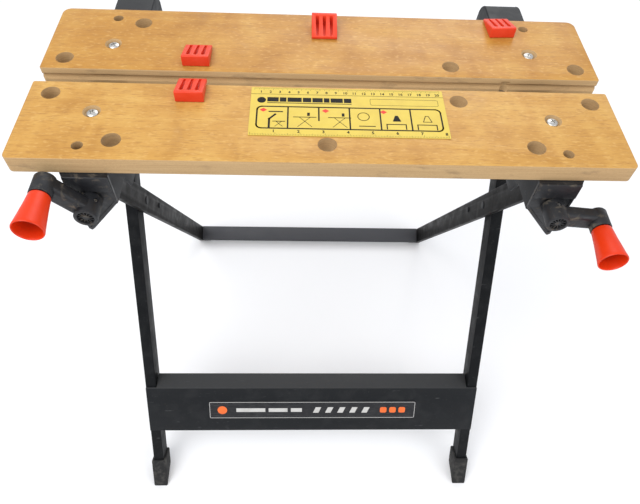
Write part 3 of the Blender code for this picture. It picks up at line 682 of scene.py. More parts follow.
def mount(piece: bpy.types.Object, body: str, *nodes: str) -> None:
    """Make a piece ride on a body in place of its solid nodes, and report it.

    Args:
        piece: The object, whose mesh is first moved into the bench's frame.
        body: The body it rides on.
        *nodes: The solid nodes it replaces, if any.
    """
    piece.data.transform(piece.matrix_world)
    piece.matrix_world = Matrix.Identity(4)
    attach(piece, body)
    if nodes:
        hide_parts(*nodes)
    lowest = min(vertex.co.z for vertex in piece.data.vertices)
    log.info("%s rides on %s: %d faces, lowest at %.4f", piece.name, body, len(piece.data.polygons), lowest)


# ---------------------------------------------------------------------------------------------------------
# The worktop


@dataclass
class Jaw:
    """One vise jaw: a veneered board with peg holes, sunk screw holes and a pipe groove."""

    node: str
    grip_y: float
    outward: int
    body: Body
    shift: float
    corner: float
    tone: Triple
    notch_x: float | None = None
    top: float = TOP_Z
    length: float = 0.624
    depth: float = 0.115
    thick: float = 0.019
    grip_corner: float = 0.0025
    countersink: Triple = COUNTERSINK
    holes: tuple[Pair, ...] = ((0.289, 0.0190), (0.1435, 0.0190), (0.2135, 0.0880), (0.0, 0.0890))
    hole_r: float = 0.0098
    small: Pair = (0.2445, 0.0965)
    screw: Pair = (VISE_X, JAW_SCREW_IN)

    def build(self) -> bpy.types.Object:
        """Cut the board and return it."""
        half, far = self.length / 2, self.outward * self.depth
        high, low = (self.grip_corner, self.corner) if self.outward < 0 else (self.corner, self.grip_corner)
        outline = rounded_rectangle((-half, min(0, far)), (half, max(0, far)), high, 10, low)
        frame = Matrix.Translation((0, self.grip_y, self.top))
        board = Shape(frame).prism(outline, "Z", -self.thick, 0).done(self.node + "_board")
        soften(board, 0.0008, 3, 60)
        cutter = Shape(frame)
        for x, inward in self.holes:
            for side in {-x, x}:
                at = (side, self.outward * inward)
                cutter.rod(self.hole_r, (*at, -0.03), (*at, 0.004), 64)
                cutter.turned([(0, 0.001), (self.hole_r + 0.0009, 0.001), (self.hole_r - 0.0008, -0.0007),
                               (0, -0.0007)],
                              64, (0, 0, 1), (*at, 0))
        for side in (-1, 1):
            at = (side * self.small[0], self.outward * self.small[1])
            cutter.rod(0.0058, (*at, -0.03), (*at, 0.004), 40)
            at = (side * self.screw[0], self.outward * self.screw[1])
            bottom, rim, depth = self.countersink
            cutter.rod(bottom, (*at, -depth), (*at, depth), 56, 2 * rim - bottom)
            cutter.rod(0.0034, (*at, -0.03), (*at, -0.002), 24)
        tool = cutter.done("holes")
        boolean = board.modifiers.new("holes", "BOOLEAN")
        boolean.object, boolean.solver, boolean.use_self = tool, "EXACT", True
        settle(board)
        bpy.data.objects.remove(tool)
        wide, deep = 0.0040, 0.0105
        groove = [(self.outward * wide, -deep), (-self.outward * wide, -deep - 2 * wide),
                  (-self.outward * wide, -deep + 2 * wide)]
        combine(board, Shape(frame).prism(groove, "X", -half - 0.01, half + 0.01).done("groove"))
        if self.notch_x is not None:
            notch = arc((self.notch_x, -self.outward * 0.0015), 0.0052, 0, 360, 20)[:-1]
            combine(board, Shape(frame).prism(notch, "Z", -0.03, -0.004).done("notch"))
        return board

    def material_slot(self, face: bpy.types.MeshPolygon) -> int:
        """0 for a veneered face, above or below, and 1 for a bare one."""
        at_surface = face.center.z > -0.0004 or face.center.z < -self.thick + 0.0004
        return 0 if abs(face.normal.z) > 0.85 and at_surface else 1

    def dress(self, board: bpy.types.Object) -> None:
        """Veneer above and below, bare fibreboard on the edges and in the holes."""
        smooth(board, 35)
        dress(board, Veneer(shift=self.shift, tone=self.tone), Fibreboard(), choose=self.material_slot)
        mount(board, self.body.value, self.node)


@dataclass
class JawScrew:
    """A cross-headed machine screw, sunk in a jaw."""

    node: str
    x: float
    y: float
    body: Body
    seat: float = TOP_Z - COUNTERSINK[2] + GAP
    head_r: float = 0.0062
    turn: float = 25.0

    def build(self) -> bpy.types.Object:
        """A domed head with a cross recess on its shank."""
        profile = [(0.0, 0.0), (self.head_r - 0.0002, 0.0), (self.head_r, 0.0004),
                   *[(self.head_r * math.cos(math.radians(a)), 0.0006 + 0.0022 * math.sin(math.radians(a)))
                     for a in range(0, 90, 9)], (0.0, 0.0028)]
        frame = Matrix.Translation((self.x, self.y, self.seat)) @ Matrix.Rotation(math.radians(self.turn),
                                                                                  4, "Z")
        screw = Shape(frame).turned(profile, 48, (0, 0, 1)).done(self.node + "_screw")
        combine(screw, Shape(frame).rod(0.0030, (0, 0, -0.0334), (0, 0, 0.001), 32).done("shank"), "UNION")
        for x, y in ((0.0032, 0.00065), (0.00065, 0.0032)):
            combine(screw, Shape(frame).box((-x, -y, 0.0012), (x, y, 0.006)).done("recess"))
        smooth(screw, 35)
        return screw

    def dress(self, screw: bpy.types.Object) -> None:
        """Zinc plate."""
        dress(screw, ZincSteel())
        mount(screw, self.body.value, self.node)


@dataclass
class ScaleLabel:
    """The printed film on the front jaw: two rulers and a row of plain panels."""

    low: Vector = field(default_factory=lambda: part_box("ruler_label")[0])
    high: Vector = field(default_factory=lambda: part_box("ruler_label")[1])
    ink: float = 0.00004
    inch: float = 0.0254
    inches: int = 8
    centimetres: int = 20

    def build(self) -> tuple[bpy.types.Object, bpy.types.Object, bpy.types.Object]:
        """The film, its black print and its red print."""
        wide, deep = self.high.x - self.low.x, self.high.y - self.low.y
        film = Shape(Matrix.Translation(self.low)).prism(
            rounded_rectangle((0, 0), (wide, deep), 0.0012, 4), "Z", 0,
            self.high.z - self.low.z - self.ink).done("label_film")
        base = Matrix.Translation((self.low.x, self.low.y, self.high.z - self.ink))
        return film, self.black(base, wide, deep), self.red(base)

    def bar(self, shape: Shape, x: float, y: float, width: float, height: float) -> None:
        """Print one bar from its lower left corner."""
        shape.box((x, y, 0), (x + width, y + height, self.ink))

    def stroke(self, shape: Shape, points: Sequence[Pair], width: float) -> None:
        """Print a line through points with the given width."""
        for start, end in zip(points, points[1:]):
            near, far = Vector((*start, 0)), Vector((*end, 0))
            along = (far - near).normalized() * width / 2
            side = Vector((-along.y, along.x, 0))
            corners = (near - along - side, far + along - side, far + along + side, near - along + side)
            shape.prism([(c.x, c.y) for c in corners], "Z", 0, self.ink)

    def number(self, shape: Shape, value: int, x: float, y: float, size: float) -> None:
        """Print a number centred at a point."""
        curve = bpy.data.curves.new("number", "FONT")
        curve.body = str(value)
        curve.size = size
        curve.align_x = curve.align_y = "CENTER"
        curve.resolution_u = 3
        curve.extrude = self.ink / 2
        curve.offset = size * 0.028
        written = bpy.data.objects.new("number", curve)
        bpy.context.scene.collection.objects.link(written)
        bpy.context.view_layer.update()
        data = bpy.data.meshes.new_from_object(written.evaluated_get(bpy.context.evaluated_depsgraph_get()))
        data.transform(Matrix.Translation((x, y, self.ink / 2)))
        shape.mesh.from_mesh(data)
        bpy.data.objects.remove(written)
        bpy.data.meshes.remove(data)

    def rulers(self, shape: Shape, wide: float, deep: float) -> None:
        """Print the centimetre scale at the back and the inch scale at the front."""
        for tick in range(10 * self.centimetres + 1):
            height = 0.0036 if tick % 10 == 0 else 0.0026 if tick % 5 == 0 else 0.0016
            self.bar(shape, 0.0034 + tick * 0.001 - 0.00006, deep - 0.0008 - height, 0.00024, height)
        for mark in range(1, self.centimetres + 1):
            self.number(shape, mark, 0.0006 + mark * 0.010, deep - 0.0074, 0.0050)
        self.bar(shape, 0.0, deep - 0.0112, wide, 0.0005)
        for tick in range(16 * self.inches + 1):
            height = 0.0036 if tick % 16 == 0 else 0.0026 if tick % 8 == 0 else 0.0016
            self.bar(shape, 0.0018 + tick * self.inch / 16 - 0.00015, 0.0008, 0.00030, height)
        for mark in range(1, self.inches + 1):
            self.number(shape, mark, mark * self.inch, 0.0064, 0.0056)

    def bench(self, shape: Shape, x: float, y: float, size: float) -> None:
        """Print a small bench on crossed legs."""
        self.stroke(shape, [(x, y + size), (x + 1.6 * size, y + size)], 0.0010)
        self.stroke(shape, [(x + 0.3 * size, y), (x + 1.2 * size, y + size)], 0.0006)
        self.stroke(shape, [(x + 1.3 * size, y), (x + 0.4 * size, y + size)], 0.0006)

    def black(self, base: Matrix, wide: float, deep: float) -> bpy.types.Object:
        """Rulers, plain heading bars and six framed panels."""
        shape = Shape(base)
        self.rulers(shape, wide, deep)
        left, right, bottom, top = 0.0075, wide - 0.0062, 0.0108, 0.0440
        outline = rounded_rectangle((left, bottom), (right, top), 0.0055, 6)
        self.stroke(shape, [*outline, outline[0]], 0.0017)
        step = (right - left) / 6
        for index in range(1, 6):
            low = bottom + (0.012 if index == 2 else 0.0)
            self.bar(shape, left + index * step - 0.0008, low, 0.0016, top - low)
        shape.rod(0.0046, (0.0115, 0.0541, 0), (0.0115, 0.0541, self.ink))
        start = 0.0175
        for width in (0.0120, 0.0070, 0.0150, 0.0090, 0.0110, 0.0060, 0.0130, 0.0080):
            self.bar(shape, start, 0.0518, width, 0.0070)
            start += width + 0.0012
        self.bar(shape, 0.0175, 0.0494, start - 0.0187, 0.0010)
        frame = rounded_rectangle((0.1270, 0.0492), (0.2000, 0.0590), 0.0020, 3)
        self.stroke(shape, [*frame, frame[0]], 0.0004)
        self.panels(shape, left, bottom, step)
        return shape.done("label_black_print")

    def panels(self, shape: Shape, left: float, bottom: float, step: float) -> None:
        """Print a plain picture in each panel."""
        self.bench(shape, left + 0.017, bottom + 0.003, 0.0075)
        self.stroke(shape, [(left + 0.013, bottom + 0.002), (left + 0.013, bottom + 0.014),
                            (left + 0.019, bottom + 0.021)], 0.0022)
        self.bar(shape, left + 0.012, bottom + 0.0245, 0.015, 0.0016)
        for index in (1, 2):
            x = left + index * step + (0.006 if index == 1 else 0.010)
            self.bench(shape, x, bottom + 0.003, 0.0145)
            self.bar(shape, x + 0.014, bottom + 0.0195, 0.0028, 0.0050)
        ring = arc((left + 3.45 * step, bottom + 0.020), 0.0060, 0, 360, 28)
        self.stroke(shape, ring, 0.0008)
        self.stroke(shape, [(left + 3.30 * step, bottom + 0.0055), (left + 3.80 * step, bottom + 0.0055)],
                    0.0012)
        for index in (4, 5):
            x = left + index * step
            self.stroke(shape, [(x + 0.006, bottom + 0.002), (x + 0.006, bottom + 0.009),
                                (x + 0.026, bottom + 0.009),
                                (x + 0.026, bottom + 0.002)], 0.0012)
            weight = [(x + 0.0125, bottom + 0.0135), (x + 0.0215, bottom + 0.0135),
                      (x + 0.0185, bottom + 0.0225),
                      (x + 0.0155, bottom + 0.0225)]
            if index == 4:
                shape.prism(weight, "Z", 0, self.ink)
            else:
                self.stroke(shape, [*weight, weight[0]], 0.0008)

    def red(self, base: Matrix) -> bpy.types.Object:
        """Small diamonds that mark three of the panels."""
        shape = Shape(base)
        for x, y in ((0.0140, 0.0385), (0.0790, 0.0385), (0.1400, 0.0385)):
            shape.prism([(x - 0.0040, y), (x, y - 0.0030), (x + 0.0040, y), (x, y + 0.0030)], "Z", 0,
                        self.ink)
        return shape.done("label_red_print")

    def dress(self, film: bpy.types.Object, black: bpy.types.Object, red: bpy.types.Object) -> None:
        """Yellow film under black and red ink."""
        dress(film, YELLOW_FILM)
        dress(black, BLACK_INK)
        dress(red, RED_INK)
        mount(film, Body.TOP.value, "ruler_label")
        mount(black, Body.TOP.value)
        mount(red, Body.TOP.value)


@dataclass
class Peg:
    """A swivel peg: a block with a tall gripping face and three slots down its slope, on a round stem."""

    node: str
    body: str
    x: float
    y: float
    turn: float = 0.0
    top: float = TOP_Z
    wide: float = 0.0150
    face: float = -0.0108
    back: float = 0.0242
    tall: float = 0.0128
    low: float = 0.0037
    stem_r: float = 0.0091

    def build(self) -> bpy.types.Object:
        """Mould the peg."""
        frame = Matrix.Translation((self.x, self.y, self.top)) @ Matrix.Rotation(self.turn, 4, "Z")
        outline = [(self.face, 0.0004), (self.back, 0.0004), (self.back, self.low),
                   (self.face + 0.0030, self.tall),
                   (self.face, self.tall)]
        peg = Shape(frame).prism(outline, "X", -self.wide, self.wide).done(self.node + "_moulding")
        soften(peg, 0.0008, 3)
        slots = Shape(frame)
        for middle in (-0.0082, 0.0, 0.0082):
            pocket = [*arc((middle, -0.0034), 0.0021, 180, 360, 10), (middle + 0.0013, 0.0222),
                      (middle + 0.0008, 0.0226), (middle - 0.0008, 0.0226), (middle - 0.0013, 0.0222)]
            slots.prism(pocket, "Z", 0.0022, 0.03)
        combine(peg, slots.done("slots"))
        edge = peg.modifiers.new("edges", "BEVEL")
        edge.width, edge.segments, edge.limit_method = 0.00025, 2, "ANGLE"
        edge.angle_limit = math.radians(50)
        settle(peg)
        stem = Shape(frame).turned([(0, 0.0018), (self.stem_r, 0.0018), (self.stem_r, -0.0152),
                                    (self.stem_r - 0.0012, -0.0165), (0, -0.0165)], 56,
                                    (0, 0, 1)).done("stem")
        combine(peg, stem, "UNION")
        smooth(peg, 42)
        return peg

    def dress(self, peg: bpy.types.Object) -> None:
        """Slightly paler orange plastic than the knobs."""
        dress(peg, PEG_PLASTIC)
        mount(peg, self.body, self.node)


# ---------------------------------------------------------------------------------------------------------
# The vise


@dataclass
class Vise:
    """One end of the vise: housing, end plate, bearings, screw, crank, knob and carrier."""

    side: Side
    angle: float
    x: float = VISE_X
    front: float = -0.1906
    rear: float = 0.1294
    top: float = 0.7327
    bottom: float = 0.686
    axis_z: float = 0.6995
    half: float = HOUSING_HALF
    wall: float = HOUSING_WALL
    pivot: Pair = (0.13616, 0.66701)
    hook: Pair = (-0.1233, 0.67200)
    journal_r: float = 0.0055
    screw_r: float = 0.0070
    pitch: float = 0.0060
    crank_radius: float = 0.0475
    hub_r: float = 0.0120
    knob_back: float = 0.0028
    knob_length: float = 0.0410
    spindle: float = 0.0200
    jaw_front: float = REAR_GRIP_Y

    @property
    def hub_y(self) -> float:
        """The front face of the crank's hub."""
        return self.front - HUB_OUT

    @property
    def sign(self) -> int:
        """Which way is outward."""
        return self.side.value

    @property
    def screw_body(self) -> str:
        """The body that turns with the screw."""
        return f"screw_{self.side.word}"

    def at(self, y: float = 0.0, z: float = 0.0) -> Matrix:
        """A frame on this end's middle plane."""
        return Matrix.Translation((self.sign * self.x, y, z))

    def on_axis(self, y: float) -> Matrix:
        """A frame on the vise screw's axis, turned with the crank."""
        return self.at(y, self.axis_z) @ Matrix.Rotation(-self.angle, 4, "Y")

    def build_housing(self) -> bpy.types.Object:
        """Press the channel: an outer shell, hollowed from below, with its slot and holes."""
        outline = [
            (self.front, self.top), (self.front, self.bottom), (self.hook[0] - 0.030, self.bottom),
            (self.hook[0] - 0.016, self.hook[1] - 0.013), (self.hook[0] + 0.016, self.hook[1] - 0.013),
            (self.hook[0] + 0.030, self.bottom), (self.pivot[0] - 0.036, self.bottom),
            *arc(self.pivot, 0.017, 230, 370, 20),
            *arc((self.rear - 0.012, self.top - 0.030), 0.030, 20, 90, 10),
        ]
        shell = Shape(self.at()).prism(outline, "X", -self.half,
                                       self.half).done(f"housing_{self.side.word}_channel")
        soften(shell, 0.0022, 4, 50)
        room = self.half - self.wall
        inside = Shape(self.at()).box((-room, self.front - 0.02, 0.60),
                                      (room, self.rear + 0.06, self.top - self.wall))
        combine(shell, inside.done("inside"))
        slot = rounded_rectangle((-0.0052, -0.0406), (0.0052, 0.0924), 0.0050, 8)
        combine(shell, Shape(self.at()).prism(slot, "Z", self.top - 0.008, self.top + 0.01).done("slot"))
        drill(shell, self.at(), PIVOT_HOLE_R, (-0.04, *self.pivot), (0.04, *self.pivot))
        drill(shell, self.at(), PIVOT_HOLE_R, (self.sign * 0.016, *self.hook), (self.sign * 0.04, *self.hook))
        screw_y = FRONT_GRIP_Y - JAW_SCREW_IN
        drill(shell, self.at(), 0.0034, (0, screw_y, 0.71), (0, screw_y, 0.75), 24)
        smooth(shell)
        return shell

    def build_plate(self) -> bpy.types.Object:
        """Cast the end plate with a raised rim and a folded upper edge."""
        s, y = self.sign, self.front
        inner, outer = -s * 0.0250, s * 0.0205
        outline = [(inner, 0.7325), (outer, 0.7325), (outer, 0.7040), (s * 0.0165, 0.6495),
                   (s * 0.0135, 0.6470),
                   (s * 0.0098, 0.6505), (inner, 0.6930)]
        plate = Shape(self.at()).prism(outline, "Y", y - 0.0035,
                                       y - 0.0005).done(f"front_plate_{self.side.word}_casting")
        face = [(inner + s * 0.0026, 0.7090), (outer - s * 0.0024, 0.7090), (outer - s * 0.0024, 0.7038),
                (s * 0.0145, 0.6535), (s * 0.0128, 0.6520), (s * 0.0108, 0.6545),
                (inner + s * 0.0026, 0.6950)]
        combine(plate, Shape(self.at()).prism(face, "Y", y - 0.010, y - 0.0028).done("face"))
        drill(plate, self.at(), 0.0093, (0, y - 0.01, self.axis_z), (0, y + 0.01, self.axis_z), 48)
        low, high = sorted((inner + s * 0.0005, outer - s * 0.0005))
        strip = Shape(self.at()).box((low, y - 0.0060, 0.7115), (high, y - 0.0020, 0.7320)).done("strip")
        soften(strip, 0.0009, 3)
        combine(plate, strip, "UNION")
        smooth(plate)
        return plate

    def build_bush(self) -> bpy.types.Object:
        """Turn the flanged bush."""
        bore = self.journal_r + GAP
        profile = [(bore, -0.0036), (0.0086, -0.0036), (0.0090, -0.0032), (0.0090, 0.0002),
                   (0.0120, 0.0002),
                   (0.0120, 0.0022), (bore, 0.0022)]
        bush = Shape(self.at(self.front,
                             self.axis_z)).turned(profile, 56).done(f"front_bush_{self.side.word}_turning")
        smooth(bush)
        return bush

    def build_cap(self) -> bpy.types.Object:
        """Mould the rear cap with a rim and cross ribs round its bearing."""
        room = self.half - self.wall - GAP
        outline = rounded_rectangle((-room, self.bottom + 0.001), (room, self.top - self.wall - 0.001),
                                    0.003, 6)
        y = self.rear
        cap = Shape(self.at()).prism(outline, "Y", y - 0.0110,
                                     y - 0.0020).done(f"rear_cap_{self.side.word}_moulding")
        drill(cap, self.at(), 0.0053, (0, y - 0.03, self.axis_z), (0, y + 0.01, self.axis_z), 40)
        low, high = self.bottom + 0.003, self.top - self.wall - 0.003
        mid = (low + high) / 2
        for x0, x1 in ((-room + 0.002, -0.0085), (0.0085, room - 0.002)):
            for z0, z1 in ((low, mid - 0.001), (mid + 0.001, high)):
                pocket = rounded_rectangle((x0, z0), (x1, z1), 0.0015, 3)
                combine(cap, Shape(self.at()).prism(pocket, "Y", y - 0.0075, y + 0.01).done("pocket"))
        soften(cap, 0.0004, 2)
        return cap

    def build_screw(self) -> bpy.types.Object:
        """Cut the vise screw with a helical thread between its journals."""
        front, rear = self.front, self.rear
        start, end = front + 0.0080, rear - 0.0120
        shape = Shape(self.on_axis(0))
        steps, root, crest = 28, self.screw_r - 0.0013, self.screw_r - 0.0002
        turns = int((end - start) / self.pitch)
        profile = ((0.0, root), (0.30, root), (0.42, crest), (0.80, crest), (0.92, root))
        rings = []
        for step in range(turns * steps + 1):
            theta = math.tau * step / steps
            base = start + self.pitch * step / steps
            rings.append([
                shape.mesh.verts.new((radius * math.cos(theta), min(end, base + share * self.pitch),
                                      radius * math.sin(theta)))
                for share, radius in profile])
        for first, second in zip(rings, rings[1:]):
            for index in range(len(profile) - 1):
                shape.mesh.faces.new((first[index], first[index + 1], second[index + 1], second[index]))
        for step in range((turns - 1) * steps):
            near, far = rings[step], rings[step + steps]
            ahead, beyond = rings[step + 1], rings[step + steps + 1]
            shape.mesh.faces.new((near[-1], far[0], beyond[0], ahead[-1]))
        shape.turned([(0, front - 0.0250), (self.journal_r, front - 0.0250),
                      (self.journal_r, front + 0.0026),
                      (0.0095, front + 0.0026), (0.0095, front + 0.0070), (self.screw_r, front + 0.0070),
                      (self.screw_r, front + 0.0095), (root - 0.0001, front + 0.0115),
                      (root - 0.0001, rear - 0.0150),
                      (self.screw_r - 0.0002, rear - 0.0150), (self.screw_r - 0.0002, rear - 0.0115),
                      (0.0050, rear - 0.0115), (0.0050, rear - 0.0034), (0.0046, rear - 0.0030),
                      (0, rear - 0.0030)], 48)
        screw = shape.done(f"vise_screw_{self.side.word}_thread")
        smooth(screw, 30)
        return screw

    def build_crank(self) -> bpy.types.Object:
        """Cast the crank: a ribbed hub, a round arm and a boss with the knob's spindle."""
        frame, reach = self.on_axis(self.hub_y), self.crank_radius
        back = HUB_OUT - 0.0042
        rim = self.hub_r
        hub = Shape(frame).turned([
            (0, 0.0012), (0.0032, 0.0012), (0.0034, 0.0036), (rim - 0.0040, 0.0036), (rim - 0.0036, 0.0004),
            (rim - 0.0032, 0.0), (rim - 0.0010, 0.0), (rim - 0.0003, 0.0004), (rim, 0.0012),
            (rim, back - 0.0010),
            (rim - 0.001, back), (0, back)], 64)
        crank = hub.done(f"crank_{self.side.word}_casting")
        outline = [*arc((0, 0), 0.0100, 90, 270, 16), *arc((reach, 0), 0.0098, -90, 90, 16)]
        arm = Shape(frame).prism(outline, "Y", 0.0040, 0.0203).done("arm")
        soften(arm, 0.0048, 6, 60)
        combine(crank, arm, "UNION")
        near = -self.knob_back + 0.0004
        boss = [(0, 0.0210), (0.0082, 0.0210), (0.0100, 0.0203), (0.0110, 0.0185), (0.0110, near + 0.0006),
                (0.0106, near), (0, near)]
        combine(crank, Shape(frame).turned(boss, 56, at=(reach, 0, 0)).done("boss"), "UNION")
        spindle = Shape(frame).rod(0.0040, (reach, 0.010, 0), (reach, -self.spindle, 0), 32)
        combine(crank, spindle.done("spindle"), "UNION")
        for tilt in range(0, 180, 30):
            rib = Shape(frame @ Matrix.Rotation(math.radians(tilt + 7), 4, "Y")).box(
                (-rim + 0.0025, 0.0014, -0.00045), (rim - 0.0025, 0.0050, 0.00045))
            combine(crank, rib.done("rib"), "UNION")
        drill(crank, frame, self.journal_r + GAP, (0, 0.0065, 0), (0, 0.05, 0), 40)
        drill(crank, frame, 0.0022, (0, 0.0180, -0.03), (0, 0.0180, 0.03), 24)
        smooth(crank, 35)
        return crank

    def build_pin(self) -> bpy.types.Object:
        """The rolled cross pin."""
        profile = [(0.0007, -0.0112), (0.0016, -0.0112), (0.0019, -0.0106), (0.0019, 0.0106),
                   (0.0016, 0.0112),
                   (0.0007, 0.0112)]
        pin = Shape(self.on_axis(self.hub_y)).turned(profile, 24, (0, 0, 1), (0, 0.0180, 0)).done(
            f"crank_pin_{self.side.word}_roll")
        smooth(pin)
        return pin

    def build_knob(self) -> bpy.types.Object:
        """Mould the hollow tapered knob with its rolled rim."""
        length = self.knob_length
        sleeve = self.spindle - self.knob_back - 0.0005
        outer = [(0.0044, 0.0), (0.0090, 0.0), (0.0099, -0.0004), (0.0105, -0.0014), (0.0110, -0.007),
                 (0.0119, -0.016), (0.0134, -0.028), (0.0145, -length + 0.0045), (0.0150, -length + 0.0012)]
        rim = [(0.0149, -length + 0.0005), (0.0145, -length), (0.0139, -length), (0.0135, -length + 0.0006)]
        inner = [(0.0132, -length + 0.0020), (0.0118, -0.028), (0.0103, -0.016), (0.0090, -0.007),
                 (0.0086, -0.0035),
                 (0.0072, -0.0035), (0.0068, -sleeve), (0.0044, -sleeve)]
        x, z = self.crank_radius * math.cos(self.angle), self.crank_radius * math.sin(self.angle)
        frame = Matrix.Translation((self.sign * self.x + x, self.hub_y - self.knob_back, self.axis_z + z))
        knob = Shape(frame).turned([*outer, *rim, *inner], 96).done(f"knob_{self.side.word}_moulding")
        smooth(knob, 50)
        return knob

    def build_knob_screw(self) -> bpy.types.Object:
        """The washer-headed screw in the end of the spindle."""
        x, z = self.crank_radius * math.cos(self.angle), self.crank_radius * math.sin(self.angle)
        y = self.hub_y - self.spindle - 0.0004
        frame = Matrix.Translation((self.sign * self.x + x, y, self.axis_z + z))
        head = [(0.0, 0.0110), (0.0018, 0.0110), (0.0018, 0.0), (0.0063, 0.0), (0.0066, -0.0003),
                (0.0066, -0.0010),
                (0.0043, -0.0013), (0.0041, -0.0026), (0.0030, -0.0034), (0.0, -0.0036)]
        screw = Shape(frame).turned(head, 40).done(f"knob_screw_{self.side.word}_head")
        for wide, tall in ((0.0022, 0.0005), (0.0005, 0.0022)):
            combine(screw, Shape(frame).box((-wide, -0.006, -tall), (wide, -0.0020, tall)).done("recess"))
        smooth(screw, 35)
        return screw

    def build_carrier(self) -> bpy.types.Object:
        """The nut block with its neck and moulded ribs."""
        y = self.jaw_front + JAW_SCREW_IN
        roof = self.top - self.wall - 0.0005 - self.axis_z
        frame = self.at(y, self.axis_z)
        block = Shape(frame).box((-0.0190, -0.0150, -0.0125), (0.0190, 0.0150, roof)).done(
            f"jaw_carrier_{self.side.word}_moulding")
        soften(block, 0.0012, 3)
        neck = Shape(frame).box((-0.0045, -0.0090, 0.010),
                                (0.0045, 0.0090, self.top - GAP - self.axis_z))
        combine(block, neck.done("neck"), "UNION")
        drill(block, frame, self.screw_r + 0.0004, (0, -0.03, 0), (0, 0.03, 0), 48)
        drill(block, frame, 0.0033, (0, 0, 0.0130), (0, 0, 0.06), 24)
        for x in (-0.0140, 0.0140):
            for near, far in ((-0.0125, -0.0010), (0.0010, 0.0125)):
                low = (x - 0.0035, near, -0.02)
                combine(block, Shape(frame).box(low, (x + 0.0035, far, -0.0070)).done("pocket"))
        smooth(block)
        return block

    def assemble(self) -> None:
        """Build, dress and mount every piece of this end of the vise."""
        word, grimy, steel = self.side.word, DarkPlastic(amount=0.75), PaintedSteel(amount=0.5)
        pieces = (
            (self.build_housing(), steel, Body.TOP.value, f"housing_{word}"),
            (self.build_plate(), DarkPlastic(amount=0.6), Body.TOP.value, f"front_plate_{word}"),
            (self.build_bush(), DarkPlastic(), Body.TOP.value, f"front_bush_{word}"),
            (self.build_cap(), DarkPlastic(), Body.TOP.value, f"rear_cap_{word}"),
            (self.build_screw(), ZincSteel(), self.screw_body, f"vise_screw_{word}"),
            (self.build_crank(), grimy, self.screw_body, f"crank_{word}"),
            (self.build_pin(), ZincSteel(), self.screw_body, f"crank_pin_{word}"),
            (self.build_knob_screw(), ZincSteel(), self.screw_body, f"knob_screw_{word}"),
            (self.build_knob(), OrangePlastic(), f"grip_{word}", f"knob_{word}"),
            (self.build_carrier(), DarkPlastic(), Body.SLIDING_JAW.value, f"jaw_carrier_{word}"),
        )
        for piece, finish, body, node in pieces:
            dress(piece, finish)
            mount(piece, body, node)


# ---------------------------------------------------------------------------------------------------------
# The leg frames


@dataclass
class LegGeometry:
    """Where the two leg frames cross and how they lean."""

    cross: Vector = field(default_factory=lambda: Vector((0.0, 0.0080, 0.4635)))
    rise: float = math.radians(57.8)
    pivot_up: float = 0.2405
    hook_up: float = 0.2464

    @property
    def front(self) -> Matrix:
        """The front legs' frame: +Z up the legs, from the crossing."""
        return Matrix.Translation(self.cross) @ Matrix.Rotation(self.rise - math.pi / 2, 4, "X")

    @property
    def rear(self) -> Matrix:
        """The rear arms' frame: +Z up the arms, from the crossing."""
        return Matrix.Translation(self.cross) @ Matrix.Rotation(math.pi / 2 - self.rise, 4, "X")

    def floor_front(self, y: float) -> float:
        """How far along the front legs the floor lies, y behind their middle."""
        return -(self.cross.z - y * math.cos(self.rise)) / math.sin(self.rise)

    def floor_rear(self, y: float) -> float:
        """How far along the rear arms the floor lies, y behind their middle."""
        return -(self.cross.z + y * math.cos(self.rise)) / math.sin(self.rise)


